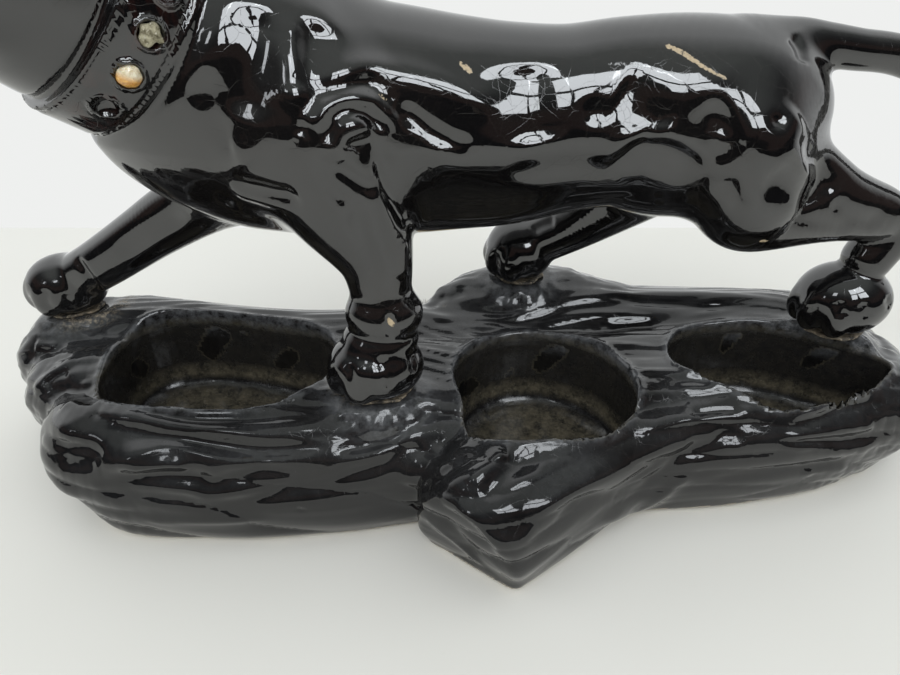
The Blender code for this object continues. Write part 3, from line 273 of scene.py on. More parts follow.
PANTHER_FOLDS = [     # depth, width, points
    (3.9, 5, [(53.6, -7.2, 142), (59.3, -7.4, 145.6), (64.6, -7.7, 151.3), (72, -7.2, 152.2), (80.4, -6.6, 148.2), (88.7, -5.6, 139.9)]),   # groin fold upper
    (2.4, 3.6, [(60.6, -5.4, 139.8), (64.7, -6.3, 143.8), (69.1, -6.5, 146), (76.3, -5.5, 142.1), (86.3, -4.1, 136.3)]),   # groin fold lower
    (-2.4, 4.2, [(47.9, -9.2, 146.3), (56.2, -8.6, 151.7), (62.4, -8, 156.2), (70.6, -7.2, 156.7), (81.8, -6.8, 151.7), (90.8, -6.9, 144.7)]),   # flank skin ridge
    (1.5, 5, [(16.7, -15, 147), (30.5, -12.6, 144.7), (42.8, -10, 145.2), (53.5, -7.5, 142.8), (69, -1.2, 132.9)]),   # belly line
    (1.35, 3.4, [(82.9, -4.6, 165.9), (90.9, -5.2, 162.1), (95.5, -7.1, 155.3), (92.7, -7.4, 150.6), (86.5, -6.8, 151.8)]),   # hip dimple ridge
    (2.85, 6, [(104.5, -9.4, 141.4), (110.6, -9.8, 141.5), (122.4, -7.3, 137.6), (139.5, 5.1, 127.9)]),   # thigh dimple
    (1.5, 3.6, [(124.3, -4.9, 124.3), (136.6, 2.4, 121.1), (147.8, 5.1, 118.2), (157.9, 7.9, 115.2)]),   # shank dimple
    (1.2, 2.6, [(96.4, -7.7, 142.9), (98.5, -8, 139.4), (101, -8.3, 134.3), (104.2, -8.5, 129.8)]),   # stifle fold
    (-1.5, 6, [(119.6, 1.2, 162.3), (115.7, -3.2, 157.5), (111.7, -6.9, 151.8), (107, -9.1, 145.6)]),   # buttock ridge
    (1.35, 4, [(121.5, -1.8, 153.6), (127.9, 0, 146.6), (139.8, 7.8, 135.5), (145.7, 6.8, 129.6)]),   # buttock hollow
    (1.95, 3.6, [(144.1, 6.5, 129.7), (148.4, 5.7, 124.5), (157.6, 7.3, 119.7), (169.5, 10.3, 116.6)]),   # hock crease
    (2.25, 2.8, [(-35.5, -31.9, 160.1), (-36.3, -31, 165.3), (-34.6, -29.7, 169.4), (-30.6, -27.1, 170.8), (-26.2, -24.5, 169.4), (-22.5, -23.4, 166.1), (-20.9, -23.8, 161.2)]),   # dome groove
    (-1.5, 3.2, [(-37.3, -31.9, 163.2), (-37.7, -30.9, 169.5), (-35, -28.4, 172.9), (-30, -25.4, 173.5), (-24.4, -22.6, 171.6), (-19.8, -21.5, 167.4), (-18.2, -22.3, 161.4)]),   # dome lip
    (2.1, 2.2, [(-30.6, -29.9, 158.9), (-30, -29.4, 160.6), (-27.1, -27.6, 161.2), (-23, -25, 161)]),   # dome lower notch
    (2.1, 2.4, [(-35.4, -32.1, 157.1), (-34.7, -31.9, 154.8), (-30.6, -30.3, 150.7), (-26.1, -28.2, 146.9), (-22, -25.7, 144.9)]),   # elbow plate crease
    (3.6, 3, [(-22.2, -24.9, 159.1), (-20.9, -24.8, 153.3), (-19.2, -23.9, 145.6), (-16.4, -21.4, 137.6), (-13.3, -16.1, 127.2)]),   # elbow rear crease
    (1.35, 3, [(-37.2, -32.4, 160.3), (-38, -32.9, 154.9), (-36.3, -32.2, 147.5), (-31.4, -30.6, 141.5)]),   # elbow front crease
    (1.95, 3.4, [(-42.6, -32.5, 168.2), (-41.8, -31.1, 171.8), (-38.9, -28.8, 175), (-32.7, -25.4, 176.1), (-26.1, -20.4, 177.2), (-19.1, -16.8, 176.4)]),   # shoulder edge
    (-1.8, 5, [(-38.8, -27.8, 176.7), (-32.7, -24.1, 178.1), (-24.9, -17.8, 179.6), (-17.9, -15, 178.3), (-6.3, -13.7, 175.1), (6.4, -12.9, 170), (16.1, -13.3, 164.4)]),   # shoulder ridge
    (1.8, 3, [(-18, -19.3, 170.4), (-11.3, -18.9, 166), (-5.1, -18.5, 161.5), (2.6, -17.3, 157.2), (9.8, -15.9, 155.5)]),   # flank groove
    (-1.35, 9, [(-9.6, -20.2, 156.2), (0, -18.1, 152.2), (16.5, -15.2, 151.2), (33.2, -12.6, 153.7)]),   # rib swell
    (2.4, 9, [(23.9, -2.5, 179.8), (25.1, -8.6, 172), (26.6, -12.1, 163.4), (28.4, -13.5, 154)]),   # waist valley
    (2.25, 7, [(54.3, -3.9, 172.7), (58.3, -4.9, 170.4), (62.6, -6.1, 166.3), (67.2, -7, 161.3), (71.9, -7.2, 156.7)]),   # loin hollow
    (2.4, 3.6, [(-71, -26.6, 147.7), (-65.8, -27.8, 146.4), (-59.7, -29.5, 145.8), (-52.6, -31, 144.7), (-46.6, -32.3, 145.6)]),   # chest fold
    (-1.2, 3.4, [(-73, -24.3, 143.7), (-66.4, -25.6, 142.2), (-58.2, -28, 141.5), (-48.5, -31, 141.7)]),   # chest fold lip
    (2.55, 7, [(-53.6, -18, 198.8), (-54, -23.2, 192.3), (-55.8, -27.5, 185), (-59.3, -30.5, 177.4), (-62.2, -32, 168)]),   # neck furrow
    (1.8, 5, [(-38.7, -14, 193.5), (-40.5, -20.9, 187.5), (-41, -25.4, 181.8), (-42.3, -30.1, 174.5)]),   # neck furrow
    (-1.5, 6, [(-48.3, -16.7, 197.1), (-48.1, -22.1, 190.5), (-46, -26.3, 183.1), (-45, -29.6, 176.6), (-48.8, -32.4, 170.5)]),   # neck cord
    (1.5, 3.5, [(-70, -29.9, 185.5), (-70.6, -31.1, 177.6), (-69.8, -31.1, 170.1), (-67.3, -31, 161.1), (-62.7, -31.5, 155.7)]),   # throat fold
    (1.35, 3, [(-31.5, -30.5, 139.4), (-29.2, -28.8, 130.2), (-26.8, -26.3, 119.2), (-25.5, -24.4, 108.6)]),   # forearm tendon
    (-1.05, 3, [(-16, -19.1, 125.5), (-16.2, -19.4, 117.9), (-17.3, -20.3, 108.8)]),   # forearm rear
    (1.35, 3, [(-104.5, 15.8, 118.4), (-117.5, 18.9, 111.8), (-130.2, 21.2, 103.6), (-142.4, 23.5, 95.9)]),   # far leg tendon
    (0.86, 2.2, [(-26.9, -28.4, 80), (-25.3, -30.6, 78), (-23.8, -32.6, 74.8), (-24, -33.9, 69.2)]),   # near fore toe
    (0.76, 2, [(-37.5, -28.4, 78.2), (-36.6, -31.3, 75.7), (-36, -33.2, 71.5), (-35.6, -32.9, 66.5)]),   # near fore toe
    (0.76, 2, [(-16, -22.5, 78.6), (-14.8, -25.5, 76.1), (-14.4, -28.1, 72.3)]),   # near fore toe
    (1.2, 1.8, [(-31.9, -21.8, 82.8), (-23.4, -23, 82.7), (-15, -22.4, 85.9)]),   # near fore wrist
    (1.35, 1.8, [(-22.6, -24, 97.5), (-21.8, -26.2, 95.4), (-21.5, -27.9, 92.2), (-19.9, -27.2, 88.3)]),   # cuff cleft
    (0.81, 2, [(-171.3, 28.1, 75.7), (-171.8, 27.6, 70.8), (-173, 29.9, 64.6)]),   # far fore toe
    (0.81, 2, [(-179.4, 27.8, 77.9), (-180.7, 26.7, 72.4), (-182.1, 28, 67.4)]),   # far fore toe
    (0.71, 2, [(-160.1, 27.8, 79.9), (-163.1, 32.6, 71), (-165.1, 38.3, 63.2)]),   # far fore toe
    (1.5, 2.2, [(-163.6, 31.8, 91.7), (-159.3, 27, 87.3), (-157.5, 27.8, 79.9), (-161.7, 36.2, 68.8)]),   # far fore wrist
    (0.81, 2.2, [(161.1, 8, 83.5), (162.2, 6.1, 79.8), (163.7, 5.2, 76.4)]),   # near hind toe
    (0.81, 2.2, [(169.7, 5.7, 83.9), (171.6, 4.3, 79.9), (173.7, 4.2, 76.1)]),   # near hind toe
    (0.71, 2.2, [(181, 8.4, 84.2), (184.7, 8.8, 79.1)]),   # near hind toe
    (0.71, 2, [(26.2, 39.4, 84.8), (27.4, 39.7, 80.5), (29.5, 40.9, 76.7)]),   # far hind toe
    (0.71, 2, [(35.2, 38.2, 84.4), (36.5, 39.4, 79.6), (38.4, 44.7, 73.6)]),   # far hind toe
    (1.2, 3, [(36, 44.2, 97), (40, 43.6, 100.5), (46.5, 41.3, 104.4)]),   # hock hollow far
    (0.15, 1, [(71.9, 5, 182.3), (75.8, 3.9, 181), (79.1, 2.7, 179.4), (84.1, 0.8, 176.3), (90.7, -0, 173.7)]),   # rump scratch
    (1.35, 3, [(118, 19.9, 183.7), (121.1, 16.6, 179.8), (121.7, 11.8, 175.6)]),   # tail root fold
]
PANTHER_DENTS = [     # depth, centre, radii
    (2.56, (88, -6.2, 158.4), (9, 8, 9)),   # hip dimple
    (1.12, (96.3, -7.2, 138.3), (3, 3, 3)),   # spot
    (1.28, (-29.2, -29.6, 137.3), (4, 3, 6)),   # spot
    (1.44, (-73.2, -31.3, 176.5), (3.2, 3, 3.2)),   # neck dimple
    (-2.08, (-63.8, -31.7, 159.5), (5, 4, 5)),   # neck lump
    (-1.28, (-37.6, -12.8, 193.8), (6, 6, 6)),   # shoulder disc
    (-1.92, (-29.2, -27.7, 165.5), (8, 6, 8)),   # dome
    (1.76, (-26, -27.3, 158.6), (5, 4, 4)),   # elbow hollow
    (1.44, (-22.3, -25.2, 157), (1.8, 1.8, 2.2)),   # pin
    (1.12, (-43.5, -33, 166.8), (2, 2, 2)),   # pin
    (1.92, (48.6, -7.9, 164.8), (5, 4, 4)),   # loin swirl
    (-2.56, (101.9, -7.1, 155.3), (16, 8, 14)),   # thigh swell
    (-1.28, (82.5, -2.8, 170.5), (12, 10, 8)),   # croup
    (1.28, (109.4, -4.2, 160.5), (3, 3, 2.4)),   # haunch pin
    (-0.58, (-31.2, -32.2, 76.4), (4.5, 4, 4)),   # toe pad a
    (-0.48, (-19.5, -28.1, 78), (4, 4, 4)),   # toe pad b
    (-0.43, (-40.7, -29.2, 75.1), (3.5, 4, 4)),   # toe pad c
    (-1.6, (-23.5, -23.4, 102.3), (6, 5, 5)),   # knee
]


def far_side(points):
    """The same points on the far flank."""
    return [(x, 2 * float(np.interp(x, [-108, 0, 124], [6, 16, 31])) - y, z) for x, y, z in points]


PANTHER_FOLDS += [(depth * 0.8, width, far_side(points)) for depth, width, points in PANTHER_FOLDS[:3] + PANTHER_FOLDS[17:23]]
PAWS = {"front_left": (-29, -19, 59.0, 13.0, 10.5), "front_right": (-178, 42, 60.0, 12.0, 10.0),
        "rear_left": (171, 21, 62.5, 13.0, 11.0), "rear_right": (33, 53, 71.5, 11.0, 10.0)}


def to_head(p):
    q = p - HEAD_AT
    c, s = math.cos(HEAD_YAW), math.sin(HEAD_YAW)
    return np.stack([c * q[:, 0] + s * q[:, 1], -s * q[:, 0] + c * q[:, 1], q[:, 2]], 1)


def from_head(v):
    c, s = math.cos(HEAD_YAW), math.sin(HEAD_YAW)
    return HEAD_AT + np.array([c * v[0] - s * v[1], s * v[0] + c * v[1], v[2]])


def head_field(p):
    out = np.full(len(p), BIG)
    idx = inside(p, HEAD_AT - 62 - REACH[0], HEAD_AT + 62 + REACH[0])
    if not len(idx):
        return out
    q = to_head(p[idx])
    d = np.full(len(idx), BIG)
    for centre, radii, turn, k in HEAD:
        d = smin(d, egg(q, centre, radii, turn), k)
    for key, at in EYES.items():
        d = smax(d, -egg(q, np.array(at) + np.array(EYE_DIRS[key]) * 1.6, (3.1, 3.1, 3.1)), 0.8)
    d = folds(q, d, HEAD_FOLDS)
    d = dents(q, d, HEAD_DENTS)
    out[idx] = d
    return out


def collar_parts(p):
    rel = p - COLLAR_C
    along = rel @ COLLAR_N
    flat = rel - along[:, None] * COLLAR_N
    radial = np.sqrt((flat ** 2).sum(1))
    turn = np.degrees(np.arctan2(flat @ COLLAR_OVER, flat @ COLLAR_OUT))
    return along, radial, turn


def collar_spot(angle, along, radius):
    a = math.radians(angle)
    out = COLLAR_OUT * math.cos(a) + COLLAR_OVER * math.sin(a)
    return COLLAR_C + COLLAR_N * along + out * radius, out


SEATS = (-44.4, -24.4, -4.4, 15.6, 35.6)


def panther_core(p):
    # the barrel tucks in below its middle
    tuck = 0.24 * np.clip((156.0 - p[:, 2]) / 26.0, 0.0, 1.0)
    middle = np.interp(p[:, 0], [-108.0, 0.0, 124.0], [6.0, 16.0, 31.0])
    q = p.copy()
    q[:, 1] = middle + (p[:, 1] - middle) * (1.0 + tuck)
    d = tube(q, TRUNK, 0.86, 14)
    d = smin(d, tube(p, NECK, 1.0, 14), 10.0)
    for stations, k in LIMBS:
        d = smin(d, tube(p, stations, 1.0, 14), k)
    for centre, radii, k in SWELLINGS:
        d = smin(d, egg(p, centre, radii), k)
    d = smin(d, head_field(p), 7.0)
    return d


def panther_field(p):
    d = panther_core(p)
    along, radial, turn = collar_parts(p)
    band = smax(radial - (COLLAR_R + 2.6 - 0.03 * (along - 1.0)), np.abs(along - 11.0) - 10.0, 1.2)
    idx = np.nonzero(np.abs(along - 11.0) < 26.0)[0]
    d[idx] = smin(d[idx], band[idx], 1.0)
    crease = np.exp(-((along + 0.8) / 2.0) ** 2) * 1.5 + np.exp(-((along - 22.0) / 1.5) ** 2) * 0.7
    crease += 0.5 * (np.exp(-((along - 3.2) / 0.7) ** 2) + np.exp(-((along - 18.8) / 0.7) ** 2))
    near = (radial > 24.0) & (radial < 48.0)
    d = d + np.where(near, crease, 0.0)
    for angle in SEATS:
        spot, out = collar_spot(angle, 10.0, COLLAR_R + 2.4)
        idx = inside(p, spot - 9.0, spot + 9.0)
        if not len(idx):
            continue
        rel = p[idx] - spot
        deep = rel @ out
        wide = np.sqrt(((rel - deep[:, None] * out) ** 2).sum(1))
        lip = np.sqrt((wide - 4.0) ** 2 + (deep - 0.1) ** 2) - 0.75
        here = smin(d[idx], lip, 0.9)
        bowl = np.sqrt(wide ** 2 + (deep - 1.3) ** 2) - 3.75
        d[idx] = smax(here, -bowl, 0.5)
    d = folds(p, d, PANTHER_FOLDS)
    d = dents(p, d, PANTHER_DENTS)
    for x, y, z, rx, ry in PAWS.values():
        idx = inside(p, (x - 30, y - 30, z - 40), (x + 30, y + 30, z + 30))
        if len(idx):
            d[idx] = smax(d[idx], (z + 0.9) - p[idx, 2], 1.6)
    return d


LOG_TUBES = {
    "front": [(-148, -17, 28, 25), (-126, -21, 28, 29), (-90, -22, 28, 30), (-50, -20, 28, 29.5), (-15, -14, 28, 29),
              (40, -10, 28, 29), (90, -6, 28, 30), (125, -3, 28, 30), (155, 3, 28, 29), (190, 9, 28, 25)],
    "middle": [(-172, 14, 31, 22), (-148, 8, 30, 27.5), (-90, 6, 30, 28), (-30, 6, 31, 28), (40, 10, 31, 28),
               (100, 16, 31, 28), (150, 22, 31, 28), (192, 26, 30, 23)],
    "back": [(-186, 33, 36, 20), (-156, 41, 36, 25.5), (-110, 36, 35, 25.5), (-63, 31, 35, 25), (-20, 34, 35, 25),
             (30, 44, 37, 26), (80, 50, 37, 26), (119, 50, 36, 26), (165, 48, 36, 25), (186, 42, 35, 21)],
    "knob": [(8, 52, 46, 20), (22, 57, 46, 24), (50, 58, 46, 24), (74, 55, 43, 21)],
    "stub": [(100, -4, 34, 23), (66, -18, 33, 25), (40, -34, 30, 26), (14, -52, 27, 26)],
}
STUB_POINT = np.array([7.0, -66.0, 20.0])
STUB_NORMAL = np.array([-0.55, -0.80, -0.22]) / np.linalg.norm([-0.55, -0.80, -0.22])
POCKETS = {
    "left": [(-148, 5), (-146, -12), (-136, -24), (-112, -29), (-84, -30), (-66, -25), (-54, -14), (-50, 2),
             (-51, 14), (-61, 25), (-84, 31), (-113, 37), (-136, 34), (-146, 22)],
    "middle": [(2, -4), (5, -22), (10, -40), (24, -45), (44, -43), (62, -37), (73, -26), (76, -12), (70, 5),
               (58, 17), (40, 23.5), (22, 21), (9, 11)],
    "right": [(95, 2), (99, -6), (113, -14), (131, -21), (152, -18), (173, -10), (188, -1), (190, 6), (178, 15),
              (153, 28), (134, 31), (109, 27), (97, 14)],
}
PADS = {"front_left": (-142, -16), "rear_left": (-158, 40), "front_right": (168, 3), "rear_right": (160, 50)}
BOSS = (-33.0, 62.0, 29.0)
LOG_FOLDS = [
    (-3.41, 4.6, [(-142.3, -26.2, 54), (-132.4, -30.6, 54.6), (-115.9, -35.1, 54.4), (-99.9, -37.6, 53.6), (-84.3, -38.6, 52.9), (-69, -39.2, 51.9), (-46.3, -38.1, 51)]),   # front ridge
    (2.02, 2.6, [(-142.1, -22.7, 54.7), (-128.5, -27.6, 56.1), (-103.2, -34.3, 55.2), (-81.1, -34.7, 55.1), (-64.4, -33.1, 55.2), (-46.8, -31.6, 55)]),   # groove above ridge
    (3.72, 4.2, [(-137.7, -35.1, 51.4), (-119, -39, 51.7), (-101.2, -41.3, 50.8), (-80, -43.7, 48.4), (-66.8, -43.6, 47.8), (-46.1, -41.5, 47.8)]),   # groove below ridge
    (-2.79, 4.4, [(-136.5, -45.9, 39.4), (-125.4, -46.2, 43), (-116.3, -44.1, 47.2), (-107.5, -42.9, 49.2), (-93.1, -45.3, 46.8), (-79.8, -46.8, 44.6), (-66.7, -46.4, 44.2), (-49.8, -44.1, 45.1)]),   # front ridge
    (-1.86, 2.6, [(-124.8, -48.1, 39.5), (-118.2, -47.7, 41.8), (-107.3, -47.4, 43.6), (-98.8, -47.9, 43.1)]),   # front ridge b
    (4.03, 3.4, [(-144.6, -45.1, 34.3), (-135.6, -47.8, 34.3), (-114.6, -49.4, 38.7), (-99.1, -50, 38.8), (-91, -50.9, 36), (-81.9, -49.7, 39.1), (-71.6, -48.3, 41.3), (-57.4, -48.1, 39.5), (-46.1, -45.9, 41.6)]),   # groove
    (1.55, 2.8, [(-139.6, -47.5, 29.1), (-115.9, -51.2, 30.8), (-93.6, -52.1, 28.5)]),   # groove
    (2.79, 3.6, [(-98.3, -52.1, 28.5), (-85, -52.1, 27.4), (-72.3, -51.4, 30), (-61.7, -50.3, 33.2), (-50.9, -49, 34.6), (-34.8, -45.5, 38), (-19.5, -40.9, 41)]),   # groove
    (-1.4, 3.2, [(-127.7, -50, 16.9), (-105.1, -51.8, 17.3), (-69.3, -51.4, 18.5)]),   # ridge low
    (-2.17, 2.6, [(-190.4, 21.3, 51.6), (-178.2, 19.2, 52.5)]),   # left lip
    (2.48, 2.4, [(-188.8, 18.5, 49.7), (-174.4, 15.4, 53)]),   # left groove
    (-2.48, 2.6, [(-181.6, -2.5, 42), (-173.8, -0.9, 49.6), (-167.9, 2, 53.4), (-161, 3.5, 55.5)]),   # left ridge
    (2.17, 2.4, [(-175.1, -3.9, 46.5), (-170.6, -1.5, 50.6), (-163, -1, 53.5)]),   # left groove
    (3.41, 2.8, [(-174.7, -5.8, 44.7), (-165.9, -7.2, 48.6), (-151.6, -13.6, 52.6), (-138.6, -22.9, 55.4)]),   # left arc groove
    (-2.48, 3.6, [(-156.9, -19.2, 51.3), (-148.7, -25.5, 52.4), (-139.5, -31.8, 52.6)]),   # left blob
    (2.33, 2.8, [(-157.8, -35.2, 42), (-145.6, -39.5, 44.4), (-132.8, -43.5, 45)]),   # left bulge groove
    (1.86, 2.6, [(-155.1, -39.6, 36.5), (-144.7, -43.3, 39.1), (-136.3, -44.8, 41.6)]),   # left slot
    (2.17, 2.6, [(-46.5, -34.9, 53.2), (-38.2, -32.9, 53.5), (-27.5, -29.7, 53.8), (-18.2, -27.5, 54), (-10.5, -21.1, 56)]),   # bridge groove a
    (-1.86, 2.8, [(-47.4, -26.9, 56.6), (-37, -28.9, 55.2), (-26.2, -25.5, 55.5), (-17, -19.3, 56.6)]),   # bridge ridge a
    (2.48, 2.8, [(-46, -43, 46.1), (-34.8, -40.4, 46.8), (-23.4, -36.4, 48.3), (-11.8, -30.7, 51.6), (-4, -24.5, 54.6)]),   # bridge groove b
    (-1.86, 2.6, [(-43.8, -44.9, 42.7), (-31.7, -42.2, 43.3), (-20.3, -38.1, 45.7), (-10.2, -33.6, 49)]),   # bridge ridge b
    (-3.1, 3.6, [(-17.5, -43.8, 28.5), (-14.2, -42.6, 33.9), (-8.6, -40.6, 39.6), (-1.6, -38, 44.6)]),   # stub ridge
    (3.41, 3.2, [(-11.6, -50.9, 31.6), (-5.2, -54.8, 44.3), (2.2, -53.5, 50.1), (10.3, -50.9, 52.7)]),   # stub groove
    (-2.48, 2.8, [(5.7, -63.2, 48.9), (10.8, -59.2, 51.8), (16, -54.3, 53), (21.4, -49.9, 53.7)]),   # stub ridge
    (3.41, 3.2, [(10.6, -68.1, 47.1), (17.1, -62.8, 50.5), (24.7, -56.3, 51.9), (35.1, -49.9, 52.8)]),   # stub groove
    (-2.79, 5, [(27.2, -73.8, 32.2), (30, -69.6, 38.3), (38.6, -62.6, 41), (50.7, -55.3, 40.6), (62.7, -47.8, 40.3), (78.7, -38, 41.4), (95.8, -31.2, 44.7)]),   # stub ridge
    (2.02, 3.2, [(37.3, -67.1, 32.2), (42.7, -62.5, 35.7), (49.3, -58.1, 36.1), (62.8, -50.2, 30.8), (75.4, -41.8, 32.1), (87.1, -36.4, 36.6)]),   # stub groove
    (1.86, 3, [(62.9, -50.2, 29.7), (76.8, -41.3, 23.6), (84.7, -38.1, 29.4), (96.3, -34.2, 37.8), (108.4, -32.2, 40.3)]),   # stub groove
    (-1.86, 3.4, [(59, -53.1, 19.3), (78.8, -36.8, 6.8), (90.3, -36.6, 18.7), (101.6, -35.3, 30)]),   # stub ridge
    (-2.17, 3.4, [(69.8, -38, 48.7), (83, -31.4, 49.1), (100.2, -26.9, 49.3), (116.9, -24.3, 50.3), (129.6, -22.8, 50.1)]),   # right ridge
    (2.17, 2.6, [(41.3, -44.6, 53.9), (57.7, -36.3, 54.4), (75.2, -27.2, 54.8), (96.9, -20.8, 54.7), (118.3, -17.2, 54.9)]),   # right groove
    (1.4, 2.2, [(86.7, -17.7, 57.3), (98.6, -13, 57.8), (109.3, -13.3, 57)]),   # right groove
    (1.71, 2.2, [(95.2, -26.5, 50.6), (107, -24.7, 50.6), (119.4, -24.1, 50.2)]),   # right slot
    (2.79, 3, [(93.7, -34.5, 38.1), (104.3, -32.4, 40.4), (110.7, -30.6, 43.1), (119.9, -30.5, 41.9)]),   # right groove
    (-2.17, 3, [(133.7, -29.1, 40.6), (147.2, -26.3, 40.3), (161.4, -22.9, 39.4), (181.1, -17.7, 38.1)]),   # right ridge
    (-2.48, 3.4, [(132.4, -30.8, 36.8), (146.3, -28.5, 34.6), (161.5, -25.2, 30.3), (185, -18.3, 26.2)]),   # right ridge
    (2.48, 2.4, [(132.1, -30, 39.3), (147.6, -27.4, 37.4), (167.2, -23, 34), (187.6, -17.4, 32.3)]),   # right groove
    (-1.86, 2.6, [(142.5, -23, 47.1), (154.9, -17.8, 49.1), (166.9, -12.7, 50.2), (178.1, -9.2, 49.6)]),   # right ridge
    (1.86, 2.4, [(137.9, -26.1, 44.4), (151.7, -21.7, 45.9), (166.1, -16.5, 47), (186.1, -11.6, 45.1)]),   # right groove
    (-1.24, 2.8, [(147.6, -29.2, 20.4), (173.6, -21.3, 17.2)]),   # right low ridge
    (1.4, 3, [(103.1, -35.5, 22.1), (124, -33.7, 23.8), (146.3, -29.6, 24.3), (171.5, -22.4, 21.9)]),   # right low groove
    (1.71, 3, [(-12.3, 40, 60), (4.7, 35.6, 61.6), (23.3, 34.2, 61.4), (37.5, 37.4, 62.7)]),   # top back groove
    (1.86, 2.6, [(46.8, 36.8, 62), (70.8, 40.2, 62.1), (95.2, 42.9, 61.6), (118.7, 41.1, 60.4), (146.9, 40, 60)]),   # top back groove
    (-1.4, 2.6, [(51.9, 41.6, 64.5), (76.6, 46.5, 63.8), (101.3, 48.9, 62.5), (130.2, 48.1, 61.8), (158.2, 45.4, 61.2)]),   # top back ridge
    (1.55, 3.4, [(-6.8, 49.2, 60), (0, 44.1, 63.1), (7.7, 48, 66.3)]),   # top back groove
    (1.4, 2.6, [(-13.7, 26.3, 58.7), (0, 28.6, 59.4), (18.5, 30, 59.6), (32.4, 29.8, 58.7)]),   # top back groove
    (1.24, 2.4, [(69.4, 28, 55.4), (83.9, 31, 55.7), (99.1, 32.1, 56.1)]),   # mid top groove
    (1.4, 2.4, [(-146.1, 39.1, 61.6), (-118.3, 39.9, 60.6), (-89.1, 36.3, 60.1), (-60.2, 31.2, 60)]),   # back left groove
    (1.55, 2.4, [(-186, 27.9, 55.5), (-174.1, 26.8, 56.2), (-163.2, 28, 57.6), (-153.3, 32.6, 60.2)]),   # left top groove
    (-1.55, 2.2, [(0, -66.3, 43), (7.1, -71.4, 41.5), (14.9, -75.2, 34.5), (20.2, -76.2, 24.7)]),   # face ridge
    (-1.08, 2.2, [(-10, -55.9, 26), (-3.1, -59.3, 20.8), (6.2, -63.6, 13.3), (13.9, -67.2, 7.2)]),   # face ridge
    (1.55, 4, [(-5.3, -60.3, 29.9), (2.2, -64.3, 25.6), (10.6, -67.3, 15.6)]),   # face hollow
    (1.55, 2.4, [(196.7, 32.4, 52.5), (199.9, 27.1, 51.6), (197.1, 16.8, 52)]),   # right edge groove
    (-1.55, 3.0, [(-14, 50, 60.5), (-7, 55, 62), (1, 52.7, 64.7), (9, 50, 67)]),   # back ridge
]
LOG_DENTS = [
    (-1.82, (-153.9, -41.5, 23.8), (7, 5, 6)),   # left round
    (-2.8, (-149.7, -33, 48.5), (9, 7, 7)),   # left bump
    (-1.4, (24.9, -75.1, 31.7), (8, 8, 6)),   # stub shoulder
    (0.56, (-58.5, -50.8, 23.6), (1.4, 1.2, 1.0)),   # mark
    (2.24, (-9, 44, 60.5), (2.6, 2.6, 2.6)),   # knot hole
]
_loops = {}


def pocket_loop(key):
    if key not in _loops:
        pts = POCKETS[key]
        ring = catmull([pts[-1], *pts, pts[0], pts[1]], 5)[5:-5]
        _loops[key] = ring[:-1]
    return _loops[key]


def pocket_plan(q, key):
    """Signed distance in plan to a pocket's outline, negative inside."""
    ring = pocket_loop(key)
    nxt = np.roll(ring, -1, axis=0)
    best = np.full(len(q), 1e9)
    winding = np.zeros(len(q), bool)
    for a, b in zip(ring, nxt):
        ab = b - a
        rel = q - a
        t = np.clip(rel @ ab / (ab @ ab), 0.0, 1.0)
        best = np.minimum(best, ((rel - t[:, None] * ab) ** 2).sum(1))
        crosses = (a[1] > q[:, 1]) != (b[1] > q[:, 1])
        with np.errstate(divide="ignore", invalid="ignore"):
            x = a[0] + (q[:, 1] - a[1]) * ab[0] / ab[1] if abs(ab[1]) > 1e-12 else np.full(len(q), 1e18)
        winding ^= crosses & (q[:, 0] < x)
    return np.where(winding, -1.0, 1.0) * np.sqrt(best)


def pocket_fields(p):
    """(distance to the nearest pocket space, distance to its bowl outside, plan distance to its lip)."""
    space, bowl, plan_all = np.full(len(p), BIG), np.full(len(p), BIG), np.full(len(p), BIG)
    for key in POCKETS:
        ring = pocket_loop(key)
        lo, hi = ring.min(0) - 14, ring.max(0) + 14
        idx = np.nonzero((p[:, 0] > lo[0]) & (p[:, 0] < hi[0]) & (p[:, 1] > lo[1]) & (p[:, 1] < hi[1]))[0]
        if not len(idx):
            continue
        s = p[idx]
        plan = pocket_plan(s[:, :2], key)
        z = s[:, 2]
        offset = np.interp(z, [17.0, 20.0, 31.0, 50.0, 54.0, 90.0], [-2.0, -0.6, 1.0, 0.8, 0.0, 0.0])
        offset += 0.5 * wobble(s, 24.0, 11)
        floor = 17.0 - z + 0.35 * wobble(s, 15.0, 12)
        here = smax(plan - offset, floor, 9.0)
        space[idx] = np.minimum(space[idx], here)
        bowl[idx] = np.minimum(bowl[idx], smax(plan - 4.5, 12.5 - z, 5.0))
        plan_all[idx] = np.where(np.abs(plan) < np.abs(plan_all[idx]), plan, plan_all[idx])
    return space, bowl, plan_all


def log_skin(p):
    """The log before its bark, pockets and hollow."""
    d = np.full(len(p), BIG)
    low = p + np.array([0, 0, 14.0])
    for key, stations in LOG_TUBES.items():
        (x0, y0, z0, r0), (x1, y1, z1, r1) = stations[0], stations[-1]
        under = [(x0 + 10, y0, z0, r0 - 1), *[(x, y, z, r - 1) for x, y, z, r in stations[1:-1]], (x1 - 10, y1, z1, r1 - 1)]
        if key == "stub":
            under = stations
        here = smin(tube(p, stations), tube(low, under), 6.0)
        if key == "stub":
            here = smax(here, (p - STUB_POINT) @ STUB_NORMAL, 2.6)
        d = smin(d, here, 5.0)
    return d


